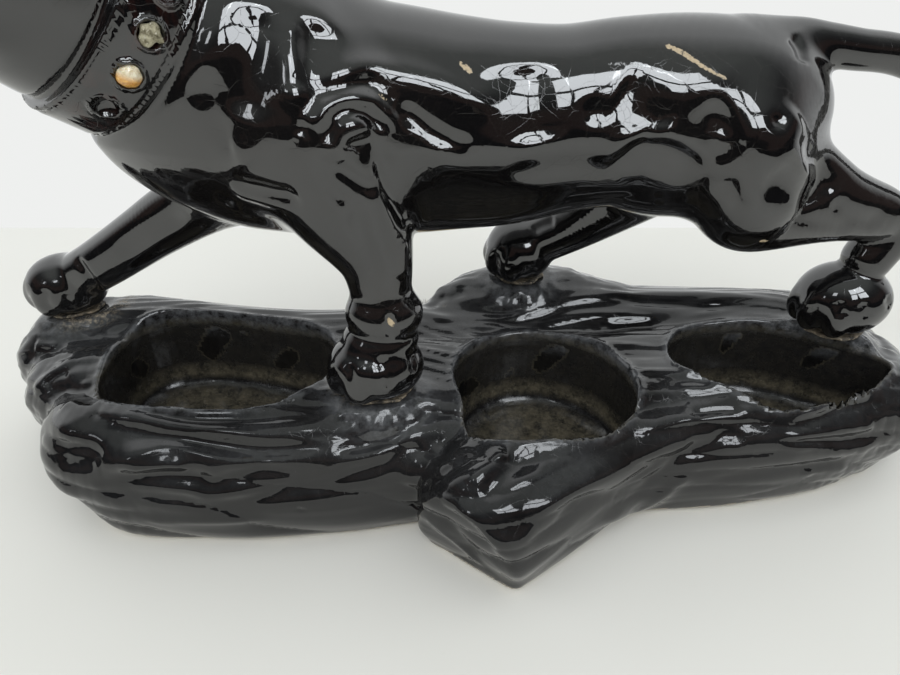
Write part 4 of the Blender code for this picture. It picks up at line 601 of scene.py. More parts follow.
def log_field(p):
    skin = log_skin(p)
    d = skin.copy()
    # bark: long ridges that run with the log
    flow = p + np.stack([0 * p[:, 0], 5.0 * np.sin(p[:, 0] * 0.031 + 0.7) + 3.0 * np.sin(p[:, 0] * 0.073),
                         4.0 * np.sin(p[:, 0] * 0.024 + 2.1)], 1)
    bark = wobble(flow, 13.0, 3, (7.0, 1.0, 1.0), 7)
    fine = wobble(flow, 6.0, 4, (8.0, 1.0, 1.0), 6)
    front = np.clip((-p[:, 1] - 12.0) / 14.0, 0.0, 1.0)
    top = np.clip((p[:, 2] - 48.0) / 8.0, 0.0, 1.0) * (1 - front)
    strand = wobble(flow, 21.0, 5, (5.5, 1.0, 1.0), 6)
    d += 0.50 * (1.0 - 0.6 * front) * (np.abs(bark) ** 0.8 - 0.5) + 0.20 * (1.0 - 0.75 * front) * fine * (1 + 0.4 * top)
    d -= (0.7 + 0.9 * front) * (np.abs(strand) ** (0.6 + 0.25 * front) - 0.55)
    d = folds(p, d, LOG_FOLDS, 1.45)
    d = dents(p, d, LOG_DENTS)
    # flat boss behind for the bracket
    bx, by, bz = BOSS
    q = np.abs(p - np.array([bx - 1.0, 46.0, 28.0])) - np.array([17.0, 15.0, 21.0])
    boss = np.maximum(q, 0)
    boss = np.sqrt((boss ** 2).sum(1)) + np.minimum(q.max(1), 0.0) - 1.0
    d = smin(d, boss, 3.0)
    # raised seats under the paws
    for x, y, z, rx, ry in PAWS.values():
        seat = egg(p, (x, y, z - 9.2), (rx + 6.6, ry + 5.8, 11.0))
        idx = inside(p, (x - 40, y - 40, z - 40), (x + 40, y + 40, z + 30))
        seat[idx] += 0.5 * wobble(p[idx], 9.0, 21)
        d = smin(d, seat, 7.0)
        if len(idx):
            cut = -(z - 0.9 - p[idx, 2])
            disc = np.sqrt(((p[idx, 0] - x) / (rx + 2.0)) ** 2 + ((p[idx, 1] - y) / (ry + 2.0)) ** 2)
            d[idx] = np.where(disc < 1.6, smax(d[idx], cut - 6.0 * np.clip(disc - 0.95, 0, 1), 1.2), d[idx])
    space, bowl, plan = pocket_fields(p)
    lip = np.exp(-((plan - 1.2) / 1.7) ** 2) * np.clip((p[:, 2] - 40.0) / 6.0, 0.0, 1.0)
    d -= 0.8 * lip
    d = smax(d, -space, 1.5)
    # hollow underneath
    hollow = skin + 6.5
    for key in POCKETS:
        pass
    hollow = np.maximum(hollow, -bowl)
    for x, y in PADS.values():
        post = np.sqrt((p[:, 0] - x) ** 2 + (p[:, 1] - y) ** 2) - 9.5
        hollow = smax(hollow, -post, 2.0)
    solid_stub = (p - STUB_POINT) @ STUB_NORMAL + 26.0
    hollow = np.where(p[:, 1] < -26.0, smax(hollow, solid_stub, 3.0), hollow)
    inner = np.abs(p - np.array([bx - 1.0, 33.0, 18.0])) - np.array([13.0, 21.0, 26.0])
    inner = np.sqrt((np.maximum(inner, 0) ** 2).sum(1)) + np.minimum(inner.max(1), 0.0)
    hollow = smin(hollow, inner, 2.0)
    hole = np.sqrt((p[:, 0] - bx) ** 2 + (p[:, 2] - bz) ** 2) - 2.8
    hole = np.maximum(hole, np.abs(p[:, 1] - 55.0) - 14.0)
    hollow = np.minimum(hollow, hole)
    d = smax(d, -hollow, 0.9)
    d = smax(d, 1.8 - p[:, 2], 1.0)
    return d
# ---- end of forms


# ---- meshing
def mesh_of_field(field, low, high, h, slack=12.0, passes=2, core=None):
    """Vertices and quads of the zero surface of a field, on a lattice of step h."""
    low, block = np.array(low, float), 6
    count = (np.ceil((np.array(high) - low) / h / block).astype(int) + 1) * block
    coarse = count // block
    grid = np.stack(np.meshgrid(*[np.arange(c) for c in coarse], indexing="ij"), -1).reshape(-1, 3)
    REACH[0] = 1e6
    centres = low + (grid * block + (block - 1) / 2) * h
    rough = (core or field)(centres)
    REACH[0] = 16.0
    near = np.abs(rough) < block * h * 0.87 + slack
    values = np.sign(rough).reshape(coarse).astype(np.float32) * 9.0
    for axis in range(3):
        values = np.repeat(values, block, axis=axis)
    step = np.stack(np.meshgrid(*[np.arange(block)] * 3, indexing="ij"), -1).reshape(-1, 3)
    nodes = (grid[near][:, None, :] * block + step[None]).reshape(-1, 3)
    for start in range(0, len(nodes), 300000):
        part = nodes[start:start + 300000]
        values[part[:, 0], part[:, 1], part[:, 2]] = field(low + part * h)
    solid = values < 0
    cells = np.zeros([c - 1 for c in count], np.uint8)
    corners = [(i, j, k) for i in (0, 1) for j in (0, 1) for k in (0, 1)]
    for i, j, k in corners:
        cells += solid[i:count[0] - 1 + i, j:count[1] - 1 + j, k:count[2] - 1 + k]
    active = (cells > 0) & (cells < 8)
    idx = np.argwhere(active)
    ids = np.full(active.shape, -1, np.int32)
    ids[active] = np.arange(len(idx))
    pos, hits = np.zeros((len(idx), 3)), np.zeros(len(idx))
    for a in corners:
        for axis in range(3):
            if a[axis]:
                continue
            b = list(a)
            b[axis] = 1
            va = values[idx[:, 0] + a[0], idx[:, 1] + a[1], idx[:, 2] + a[2]]
            vb = values[idx[:, 0] + b[0], idx[:, 1] + b[1], idx[:, 2] + b[2]]
            cross = (va < 0) != (vb < 0)
            t = np.where(cross, va / np.where(cross, va - vb, 1.0), 0.0)
            point = np.array(a, float)[None] + t[:, None] * (np.array(b) - np.array(a))[None]
            pos += point * cross[:, None]
            hits += cross
    verts = low + (idx + pos / hits[:, None]) * h
    quads = []
    for axis in range(3):
        u, v = (axis + 1) % 3, (axis + 2) % 3
        take = [slice(None)] * 3
        take[axis] = slice(0, -1)
        shift = [slice(None)] * 3
        shift[axis] = slice(1, None)
        change = solid[tuple(take)] != solid[tuple(shift)]
        e = np.argwhere(change)
        e = e[(e[:, u] > 0) & (e[:, v] > 0) & (e[:, u] < count[u] - 1) & (e[:, v] < count[v] - 1)]
        outward = solid[e[:, 0], e[:, 1], e[:, 2]]

        def cell(du, dv):
            c = e.copy()
            c[:, u] += du
            c[:, v] += dv
            return ids[c[:, 0], c[:, 1], c[:, 2]]
        q = np.stack([cell(-1, -1), cell(0, -1), cell(0, 0), cell(-1, 0)], 1)
        quads.append(np.where(outward[:, None], q, q[:, ::-1]))
    quads = np.concatenate(quads)
    quads = quads[(quads >= 0).all(1)]
    for turn in range(passes):
        verts = relaxed(verts, quads, 0.5)
        verts = settled(field, verts, h)
    return verts, quads


def relaxed(verts, quads, amount):
    total, number = np.zeros_like(verts), np.zeros(len(verts))
    for k in range(4):
        a, b = quads[:, k], quads[:, (k + 1) % 4]
        for axis in range(3):
            total[:, axis] += np.bincount(a, verts[b, axis], len(verts)) + np.bincount(b, verts[a, axis], len(verts))
        number += np.bincount(a, minlength=len(verts)) + np.bincount(b, minlength=len(verts))
    return verts + (total / number[:, None] - verts) * amount


def gradient(field, verts, eps=0.4):
    g = np.zeros_like(verts)
    for axis in range(3):
        step = np.zeros(3)
        step[axis] = eps
        g[:, axis] = (field(verts + step) - field(verts - step)) / (2 * eps)
    return g


def settled(field, verts, h):
    d, g = field(verts), gradient(field, verts)
    move = -d[:, None] * g / np.maximum((g ** 2).sum(1), 0.15)[:, None]
    length = np.sqrt((move ** 2).sum(1))
    return verts + move * np.minimum(1.0, 0.6 * h / np.maximum(length, 1e-9))[:, None]


def to_frame(points):
    return (np.asarray(points, float) + SHIFT) * 0.001


def object_from(name, verts, faces, attributes=None, smooth=True, sharp=None):
    """A mesh object from form millimetres; attributes are per-vertex numbers that the materials read."""
    mesh = bpy.data.meshes.new(name)
    if isinstance(faces, np.ndarray):
        n, size = faces.shape
        mesh.vertices.add(len(verts))
        mesh.vertices.foreach_set("co", to_frame(verts).astype(np.float32).ravel())
        mesh.loops.add(n * size)
        mesh.loops.foreach_set("vertex_index", faces.astype(np.int32).ravel())
        mesh.polygons.add(n)
        mesh.polygons.foreach_set("loop_start", np.arange(0, n * size, size, dtype=np.int32))
        mesh.update(calc_edges=True)
        mesh.validate()
    else:
        mesh.from_pydata([tuple(v) for v in to_frame(verts)], [], faces)
    for key, data in (attributes or {}).items():
        layer = mesh.attributes.new(key, "FLOAT", "POINT")
        layer.data.foreach_set("value", np.asarray(data, np.float32))
    if smooth:
        mesh.shade_smooth()
        if sharp:
            mesh.set_sharp_from_angle(angle=math.radians(sharp))
    obj = bpy.data.objects.new(name, mesh)
    bpy.context.scene.collection.objects.link(obj)
    return obj


# ---- materials
class Finish:
    """A small helper for node-based finishes; lengths in the textures are millimetres."""

    def __init__(self, name):
        self.mat = bpy.data.materials.new(name)
        self.mat.use_nodes = True
        self.tree = self.mat.node_tree
        self.shader = self.tree.nodes["Principled BSDF"]
        coord = self.node("ShaderNodeTexCoord").outputs["Object"]
        self.at = self.node("ShaderNodeVectorMath", {0: coord, "Scale": 1000.0}, operation="SCALE").outputs[0]

    def node(self, kind, inputs=None, **props):
        n = self.tree.nodes.new(kind)
        for key, value in props.items():
            setattr(n, key, value)
        for key, value in (inputs or {}).items():
            if isinstance(value, bpy.types.NodeSocket):
                self.tree.links.new(value, n.inputs[key])
            else:
                n.inputs[key].default_value = value
        return n

    def stretched(self, x, y, z):
        return self.node("ShaderNodeVectorMath", {0: self.at, 1: (x, y, z)}, operation="MULTIPLY").outputs[0]

    def noise(self, size, detail=4.0, rough=0.55, vector=None, twist=0.0):
        return self.node("ShaderNodeTexNoise", {"Vector": vector or self.at, "Scale": 1.0 / size, "Detail": detail,
                                                "Roughness": rough, "Distortion": twist}).outputs[0]

    def cells(self, size, vector=None, feature="DISTANCE_TO_EDGE", random=1.0):
        return self.node("ShaderNodeTexVoronoi", {"Vector": vector or self.at, "Scale": 1.0 / size,
                                                  "Randomness": random}, feature=feature).outputs[0]

    def wave(self, size, vector=None, twist=0.0, direction="X"):
        return self.node("ShaderNodeTexWave", {"Vector": vector or self.at, "Scale": 1.0 / size, "Distortion": twist},
                         bands_direction=direction).outputs[1]

    def span(self, value, low, high, a=0.0, b=1.0):
        return self.node("ShaderNodeMapRange", {0: value, 1: low, 2: high, 3: a, 4: b}, clamp=True).outputs[0]

    def calc(self, op, a, b=0.0, c=0.0):
        return self.node("ShaderNodeMath", {0: a, 1: b, 2: c}, operation=op).outputs[0]

    def blend(self, factor, a, b, mode="MIX"):
        n = self.node("ShaderNodeMix", data_type="RGBA", blend_type=mode)
        for key, value in ((0, factor), (6, a), (7, b)):
            if isinstance(value, bpy.types.NodeSocket):
                self.tree.links.new(value, n.inputs[key])
            else:
                n.inputs[key].default_value = (*value, 1.0) if isinstance(value, tuple) and len(value) == 3 else value
        return n.outputs[2]

    def read(self, name):
        return self.node("ShaderNodeAttribute", attribute_name=name).outputs["Fac"]

    def bump(self, height, strength, distance, normal=None):
        inputs = {"Height": height, "Strength": strength, "Distance": distance * 0.001}
        if normal is not None:
            inputs["Normal"] = normal
        return self.node("ShaderNodeBump", inputs).outputs[0]

    def set(self, **inputs):
        for key, value in inputs.items():
            key = key.replace("_", " ")
            socket = self.shader.inputs[key]
            if isinstance(value, bpy.types.NodeSocket):
                self.tree.links.new(value, socket)
            else:
                colour = socket.type == "RGBA" and isinstance(value, tuple) and len(value) == 3
                socket.default_value = (*value, 1.0) if colour else value
        return self.mat


def craze(f, size, width, seed):
    """Crack lines of an old glaze: 1 on a line, 0 between."""
    drift = f.node("ShaderNodeTexNoise", {"Vector": f.at, "Scale": 0.6 / size, "Detail": 2.0}).outputs[1]
    shift = f.node("ShaderNodeVectorMath", {0: drift, "Scale": size * 0.9}, operation="SCALE").outputs[0]
    where = f.node("ShaderNodeVectorMath", {0: f.at, 1: shift}, operation="ADD").outputs[0]
    where = f.node("ShaderNodeVectorMath", {0: where, 1: (seed, seed * 2.0, seed * 0.5)}, operation="ADD").outputs[0]
    edge = f.cells(size, where)
    return f.span(edge, width / size * 0.35, width / size, 1.0, 0.0)


def glaze(name, haze, haze_size, ior, log=False):
    f = Finish(name)
    large = craze(f, 10.0, 0.055, 3.0)
    small = craze(f, 4.4, 0.045, 9.0)
    patch = f.span(f.noise(30.0, 3.0), 0.44, 0.60)
    lines = f.calc("MAXIMUM", f.calc("MULTIPLY", large, 0.9), f.calc("MULTIPLY", small, patch))
    film = f.span(f.noise(haze_size, 4.0, 0.6), 0.30, 0.75)
    facing = f.node("ShaderNodeNewGeometry").outputs["Normal"]
    up = f.node("ShaderNodeSeparateXYZ", {0: facing}).outputs[2]
    upward = f.span(up, 0.2, 1.0, 0.12, 1.0)
    specks = f.span(f.noise(1.3, 2.0), 0.70, 0.78)
    grain = f.span(f.noise(2.4, 5.0, 0.75), 0.35, 0.70, 0.55, 1.0)
    dust = f.calc("MULTIPLY", f.calc("MULTIPLY", film, upward), f.calc("MULTIPLY", grain, haze))
    dust = f.calc("ADD", dust, f.calc("MULTIPLY", specks, haze * 0.4))
    if log:
        crust = f.span(f.noise(4.5, 6.0, 0.72), 0.36, 0.66)
        dust = f.calc("ADD", dust, f.calc("MULTIPLY", f.read("rim"), f.calc("MULTIPLY", crust, 0.30)))
        dust = f.calc("ADD", dust, f.calc("MULTIPLY", f.read("seam"), f.calc("MULTIPLY", crust, 0.24)))
    colour = f.blend(f.span(f.noise(60.0, 3.0), 0.35, 0.7), (0.0030, 0.0030, 0.0034), (0.0062, 0.0056, 0.0055))
    colour = f.blend(dust, colour, (0.34, 0.36, 0.39))
    colour = f.blend(f.calc("MULTIPLY", lines, 0.25), colour, (0.050, 0.043, 0.038))
    rough = f.calc("ADD", f.span(f.noise(9.0, 3.0), 0.3, 0.8, 0.02, 0.045), f.calc("MULTIPLY", dust, 0.75))
    rough = f.calc("ADD", rough, f.calc("MULTIPLY", lines, 0.06))
    height = f.calc("ADD", f.noise(19.0, 2.0, 0.4), f.calc("MULTIPLY", f.noise(4.0, 2.0, 0.5), 0.05))
    soft = f.bump(height, 0.30, 0.55)
    fine = f.bump(f.calc("ADD", f.calc("MULTIPLY", lines, -0.45), f.calc("MULTIPLY", f.noise(0.9, 3.0), dust)), 0.30, 0.04, soft)
    f.shader.inputs["IOR"].default_value = ior
    return f, colour, rough, fine, dust


def panther_glaze():
    f, colour, rough, normal, dust = glaze("glaze_black_panther", 0.022, 26.0, 1.85)
    clay = f.calc("MULTIPLY", f.read("clay"), f.span(f.noise(2.6, 5.0, 0.7), 0.44, 0.62))
    colour = f.blend(clay, colour, f.blend(f.noise(1.3, 4.0), (0.13, 0.105, 0.075), (0.42, 0.36, 0.27)))
    rough = f.calc("MAXIMUM", rough, f.calc("MULTIPLY", clay, 0.85))
    red = f.calc("MULTIPLY", f.read("worn"), f.span(f.noise(5.0, 4.0, 0.6, f.stretched(1.0, 1.0, 0.35)), 0.50, 0.62))
    colour = f.blend(f.calc("MULTIPLY", red, 0.7), colour, (0.036, 0.010, 0.007))
    scar = f.calc("MULTIPLY", f.read("scar"), f.span(f.noise(1.4, 4.0, 0.7), 0.26, 0.50))
    scar = f.span(scar, 0.34, 0.50)
    colour = f.blend(scar, colour, f.blend(f.noise(0.9, 3.0), (0.26, 0.19, 0.10), (0.62, 0.51, 0.34)))
    rough = f.calc("MAXIMUM", rough, f.calc("MULTIPLY", scar, 0.8))
    scuff = f.calc("MULTIPLY", f.read("scuff"), f.span(f.noise(1.0, 4.0, 0.7), 0.42, 0.58))
    scuff = f.span(scuff, 0.25, 0.6)
    colour = f.blend(f.calc("MULTIPLY", scuff, 0.45), colour, (0.50, 0.52, 0.54))
    rough = f.calc("MAXIMUM", rough, f.calc("MULTIPLY", scuff, 0.5))
    return f.set(Base_Color=colour, Roughness=rough, Normal=normal)


def log_glaze():
    f, colour, rough, normal, dust = glaze("glaze_black_log", 0.12, 34.0, 1.58, True)
    well = f.read("well")
    mottled = f.blend(f.span(f.noise(5.0, 6.0, 0.72), 0.40, 0.66), (0.035, 0.033, 0.026), (0.175, 0.155, 0.110))
    mottled = f.blend(f.span(f.noise(1.4, 5.0, 0.75), 0.50, 0.70), mottled, (0.20, 0.18, 0.13))
    mottled = f.blend(f.read("pool"), mottled, (0.010, 0.010, 0.011))
    colour = f.blend(well, colour, mottled)
    rough = f.node("ShaderNodeMix", {0: well, 2: rough, 3: f.span(f.noise(3.0, 4.0), 0.3, 0.7, 0.10, 0.34)}).outputs[0]
    under = f.read("under")
    clay = f.blend(f.noise(5.0, 5.0, 0.65), (0.40, 0.34, 0.26), (0.62, 0.56, 0.46))
    colour = f.blend(under, colour, clay)
    rough = f.node("ShaderNodeMix", {0: under, 2: rough, 3: 0.85}).outputs[0]
    tan = f.calc("MULTIPLY", f.read("tan"), f.span(f.noise(2.0, 5.0, 0.75), 0.46, 0.66))
    colour = f.blend(tan, colour, f.blend(f.noise(1.2, 4.0), (0.20, 0.165, 0.115), (0.50, 0.43, 0.32)))
    rough = f.calc("MAXIMUM", rough, f.calc("MULTIPLY", tan, 0.8))
    return f.set(Base_Color=colour, Roughness=rough, Normal=normal)


def clay_finish():
    f = Finish("bare_clay_slip")
    colour = f.blend(f.span(f.noise(2.2, 5.0, 0.7), 0.35, 0.65), (0.24, 0.19, 0.13), (0.62, 0.53, 0.39))
    colour = f.blend(f.span(f.noise(1.0, 3.0), 0.62, 0.72), colour, (0.05, 0.045, 0.04))
    return f.set(Base_Color=colour, Roughness=0.88, Normal=f.bump(f.noise(1.1, 5.0, 0.7), 0.8, 0.35))


def metal(name, dark, light, rough, grain=(1.0, 1.0, 1.0), spots=0.25):
    f = Finish(name)
    tone = f.noise(6.0, 5.0, 0.65)
    streak = f.noise(0.5, 3.0, 0.6, f.stretched(*grain))
    colour = f.blend(f.span(tone, 0.35, 0.68), dark, light)
    stain = f.span(f.noise(2.4, 5.0, 0.75), 0.60, 0.74)
    colour = f.blend(f.calc("MULTIPLY", stain, spots), colour, tuple(c * 0.35 for c in dark))
    r = f.calc("ADD", f.span(streak, 0.3, 0.7, rough - 0.06, rough + 0.08), f.calc("MULTIPLY", stain, 0.22))
    return f.set(Base_Color=colour, Metallic=1.0, Roughness=r, Normal=f.bump(streak, 0.25, 0.05))


def moulded(name, dark, light, rough, fleck=0.4):
    f = Finish(name)
    colour = f.blend(f.span(f.noise(5.0, 6.0, 0.7, twist=1.5), 0.38, 0.62), dark, light)
    colour = f.blend(f.calc("MULTIPLY", f.span(f.noise(0.8, 3.0), 0.62, 0.72), fleck), colour, tuple(min(1.0, c * 2.6) for c in light))
    r = f.span(f.noise(2.0, 4.0), 0.3, 0.7, rough - 0.06, rough + 0.12)
    return f.set(Base_Color=colour, Roughness=r, Normal=f.bump(f.noise(0.7, 4.0), 0.18, 0.08))


def felt_finish():
    f = Finish("felt_green")
    fibre = f.noise(0.5, 6.0, 0.8, twist=3.0)
    colour = f.blend(f.span(fibre, 0.35, 0.65), (0.018, 0.055, 0.032), (0.065, 0.16, 0.10))
    colour = f.blend(f.span(f.noise(4.0, 3.0), 0.5, 0.75, 0.0, 0.35), colour, (0.16, 0.16, 0.13))
    return f.set(Base_Color=colour, Roughness=0.97, Sheen_Weight=0.5, Normal=f.bump(fibre, 1.0, 0.5))


def fibre_finish():
    f = Finish("vulcanised_fibre")
    strands = f.noise(0.8, 5.0, 0.7, f.stretched(0.25, 1.0, 1.0), 2.0)
    colour = f.blend(f.span(strands, 0.35, 0.65), (0.13, 0.065, 0.03), (0.27, 0.15, 0.08))
    return f.set(Base_Color=colour, Roughness=0.82, Normal=f.bump(strands, 0.5, 0.15))


def stone_finish(name):
    f = Finish(name)
    cloud = f.noise(1.6, 5.0, 0.7, twist=1.2)
    # painted light: the stone's top is painted pale cream as a highlight, and its lower part a deeper amber as light
    # glowing through it
    colour = f.blend(f.span(cloud, 0.38, 0.62), (0.62, 0.52, 0.33), (0.86, 0.81, 0.66))
    amber = f.blend(f.span(cloud, 0.35, 0.65), (0.46, 0.20, 0.04), (0.80, 0.47, 0.13))
    colour = f.blend(f.span(f.calc("ADD", f.read("lower"), f.calc("MULTIPLY", cloud, 0.5)), 0.45, 0.95), colour, amber)
    colour = f.blend(f.span(f.noise(0.7, 3.0), 0.62, 0.72, 0.0, 0.6), colour, (0.20, 0.12, 0.05))
    return f.set(Base_Color=colour, Roughness=f.span(cloud, 0.3, 0.7, 0.06, 0.24), Subsurface_Weight=0.25,
                 Subsurface_Radius=(0.0012, 0.0008, 0.0004), Coat_Weight=0.6, Coat_Roughness=0.05,
                 Normal=f.bump(f.noise(1.3, 3.0), 0.25, 0.25))


def residue_finish():
    f = Finish("old_cement")
    colour = f.blend(f.span(f.noise(1.6, 5.0, 0.7), 0.35, 0.65), (0.10, 0.085, 0.04), (0.50, 0.47, 0.33))
    colour = f.blend(f.span(f.noise(0.6, 3.0), 0.60, 0.70), colour, (0.72, 0.69, 0.58))
    return f.set(Base_Color=colour, Roughness=f.span(f.noise(1.0, 3.0), 0.3, 0.7, 0.35, 0.8),
                 Normal=f.bump(f.noise(0.8, 5.0, 0.7), 0.9, 0.3))


def bond_finish():
    f = Finish("paw_slip")
    colour = f.blend(f.span(f.noise(6.0, 5.0, 0.7), 0.42, 0.62), (0.020, 0.017, 0.014), (0.20, 0.165, 0.115))
    colour = f.blend(f.span(f.noise(1.2, 4.0), 0.56, 0.68), colour, (0.40, 0.34, 0.25))
    return f.set(Base_Color=colour, Roughness=f.span(f.noise(2.0, 3.0), 0.3, 0.7, 0.4, 0.85),
                 Normal=f.bump(f.noise(0.9, 5.0, 0.7), 0.8, 0.3))


def eye_finish():
    f = Finish("eye_glass_green")
    slit = f.read("slit")
    iris = f.blend(f.span(f.noise(0.8, 5.0, 0.7), 0.35, 0.65), (0.16, 0.20, 0.015), (0.62, 0.52, 0.06))
    colour = f.blend(f.read("edge"), iris, (0.02, 0.03, 0.005))
    colour = f.blend(slit, colour, (0.002, 0.002, 0.002))
    return f.set(Base_Color=colour, Roughness=0.06, Coat_Weight=1.0, Coat_Roughness=0.02,
                 Normal=f.bump(f.noise(1.0, 2.0), 0.05, 0.1))


def glass_finish(name, tint, frost):
    f = Finish(name)
    smear = f.noise(9.0, 5.0, 0.7)
    return f.set(Base_Color=f.blend(f.span(smear, 0.35, 0.75), tint, tuple(c * 0.93 for c in tint)),
                 Roughness=f.span(smear, 0.35, 0.75, frost, frost + 0.08), Transmission_Weight=1.0, IOR=1.48,
                 Normal=f.bump(f.noise(14.0, 2.0), 0.06, 0.4))


def cord_finish():
    f = Finish("cord_brown_vinyl")
    colour = f.blend(f.span(f.noise(6.0, 5.0, 0.65), 0.35, 0.68), (0.045, 0.022, 0.011), (0.12, 0.065, 0.036))
    colour = f.blend(f.span(f.noise(1.2, 4.0), 0.60, 0.74, 0.0, 0.35), colour, (0.26, 0.21, 0.17))
    return f.set(Base_Color=colour, Roughness=f.span(f.noise(2.5, 4.0), 0.3, 0.7, 0.38, 0.62),
                 Normal=f.bump(f.noise(0.8, 4.0), 0.3, 0.1))


# ---- the two castings
def casting(name, field, core, low, high, h, attributes):
    verts, quads = mesh_of_field(field, low, high, h, core=core)
    obj = object_from(name, verts, quads, attributes(verts))
    slope = gradient(field, verts, 0.5)
    slope /= np.maximum(np.sqrt((slope ** 2).sum(1)), 1e-9)[:, None]
    obj.data.normals_split_custom_set_from_vertices([tuple(n) for n in slope])
    return obj


def near_line(p, points, width):
    out = np.zeros(len(p))
    idx, r, t = line_distance(p, points, width)
    if len(idx):
        out[idx] = np.exp(-(r / width) ** 2)
    return out


SCARS = [
    (0.95, [(71.9, 5.3, 182.6), (75.5, 4.1, 181.3), (79.1, 2.7, 179.4), (84.1, 0.8, 176.3), (90.7, -0.2, 173.4)]),
    (0.9, [(-21.5, -20, 173), (-19.8, -19.8, 171.2)]),
    (0.9, [(3.8, -7.3, 179.6), (6.4, -8.3, 177.4)]),
    (1.1, [(-22.9, -25.8, 96.1), (-21.1, -26.9, 94.2)]),
    (0.9, [(116.8, -3.5, 116), (118.6, -2.9, 115.7)]),
]
SCUFFS = [
    (0.7, [(52.3, -0.2, 178.1), (58.3, 0, 178.1), (62.9, -0.3, 177.5), (67.2, -0.6, 176.6)]),
    (1.2, [(102.8, -8.1, 150.1), (107.8, -8.4, 148.8)]),
    (0.8, [(-105.3, -32.5, 174), (-105.2, -31.8, 173.2)]),
    (1.6, [(-138.3, 29, 59.2), (-120.3, 31.1, 60), (-101.8, 31, 60.1), (-68.3, 24.2, 59)]),
]
TAN_SPOTS = [
    (2, [(8.6, 4.1, 58.8), (12.1, 6.1, 59), (14.8, 8.2, 59)]),
    (1.1, [(-3.8, 41.5, 61.3), (-2.8, 41.1, 61.6)]),
    (4, [(-176.6, 31.2, 57.8), (-162.9, 33.2, 59.8), (-156, 40.3, 61.5), (-155.9, 48.8, 60.3)]),
    (2.4, [(-48.8, -11.3, 56.5), (-45, -20.3, 57.4), (-40.6, -23.6, 56.9), (-36.4, -26.3, 56.1)]),
]


def panther_marks(v):
    clay = np.zeros(len(v))
    for x, y, z, rx, ry in PAWS.values():
        ring = np.sqrt(((v[:, 0] - x) / (rx + 9)) ** 2 + ((v[:, 1] - y) / (ry + 9)) ** 2)
        clay = np.maximum(clay, np.clip(1.0 - (v[:, 2] - z - 0.6) / 2.6, 0, 1) * (ring < 1.0) * (v[:, 2] < z + 5))
    along, radial, turn = collar_parts(v)
    worn = np.exp(-((along - 26.0) / 7.0) ** 2) * (turn > 10) * (turn < 120)
    worn += 0.7 * np.exp(-((along - 12.0) / 8.0) ** 2) * (radial > 30)
    scar, scuff = np.zeros(len(v)), np.zeros(len(v))
    for width, points in SCARS:
        scar = np.maximum(scar, near_line(v, points, width))
    for width, points in SCUFFS:
        scuff = np.maximum(scuff, near_line(v, points, width))
    return {"clay": clay, "worn": np.clip(worn, 0, 1), "scar": scar, "scuff": scuff}


def log_marks(v):
    space, bowl, plan = pocket_fields(v)
    z = v[:, 2]
    well = ((space < 1.3) & (space > -1.3) & (plan < 1.2) & (z > 14)).astype(float)
    well *= np.clip((57.0 - z) / 5.0, 0.0, 1.0)
    rim = np.exp(-((plan - 0.6) / 2.0) ** 2) * np.clip((z - 44.0) / 6.0, 0, 1)
    pool = np.exp(-((z - 20.5) / 3.2) ** 2) * (plan < 0)
    pool = np.maximum(pool, np.clip((z - 23.0) / 8.0, 0, 1) * 0.93)
    seam = np.zeros(len(v))
    for x, y, zz, rx, ry in PAWS.values():
        ring = np.sqrt(((v[:, 0] - x) / (rx + 4)) ** 2 + ((v[:, 1] - y) / (ry + 4)) ** 2)
        seam = np.maximum(seam, np.exp(-((ring - 1.0) / 0.35) ** 2) * (z > zz - 12))
    skin = log_skin(v)
    under = ((skin < -3.0) & (space > 2.0)).astype(float)
    under = np.maximum(under, (z < 2.6).astype(float))
    tan = np.zeros(len(v))
    for width, points in TAN_SPOTS:
        tan = np.maximum(tan, near_line(v, points, width))
    return {"well": well, "rim": rim, "pool": pool * well, "seam": seam, "under": under, "tan": tan}


base = "base"
fig_low, fig_high = mm("panther_figure")
log_low, log_high = mm("log_planter_base")
H_FIG, H_LOG = ((1.3, 1.45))

panther = casting("panther_glazed_casting", panther_field, panther_core, fig_low - 6, fig_high + 6, H_FIG, panther_marks)
panther.data.materials.append(panther_glaze())
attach(panther, base)
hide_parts("panther_figure")

log = casting("log_glazed_casting", log_field, log_field, log_low - 6, log_high + 6, H_LOG, log_marks)
log.data.materials.append(log_glaze())
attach(log, base)
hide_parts("log_planter_base")

# ---- plain materials for the frame nodes that stay
CLAY = clay_finish()
STEEL = metal("steel_zinc_plated", (0.34, 0.34, 0.33), (0.62, 0.61, 0.58), 0.34, (0.1, 1.0, 1.0))
BRASS = metal("brass_aged", (0.42, 0.27, 0.10), (0.76, 0.57, 0.27), 0.30, (0.1, 1.0, 1.0))
BROWN = moulded("phenolic_brown", (0.020, 0.010, 0.006), (0.060, 0.030, 0.016), 0.26)
FELT = felt_finish()
FIBRE = fibre_finish()
AMBER = stone_finish("stone_amber")
CEMENT = residue_finish()
SLIP = bond_finish()
EYE = eye_finish()
GLASS = glass_finish("glass_clear", (0.97, 0.98, 0.96), 0.02)
TUNGSTEN = metal("tungsten_wire", (0.16, 0.16, 0.17), (0.34, 0.34, 0.36), 0.42)
CORD = cord_finish()
KEEP = {
    "bare_clay": CLAY, "plated_steel": STEEL, "brass": BRASS, "phenolic": BROWN, "felt": FELT, "fibre": FIBRE,
    "amber_stone": AMBER, "eye_glass": EYE, "lamp_glass": GLASS, "tungsten": TUNGSTEN, "brown_cord": CORD,
}
for name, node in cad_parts.items():
    if node.hide_render:
        continue
    for slot_ in node.material_slots:
        base_name = (slot_.material.name if slot_.material else "").split(".")[0]
        for key, mat in KEEP.items():
            if base_name == key or base_name.startswith(key):
                slot_.material = mat

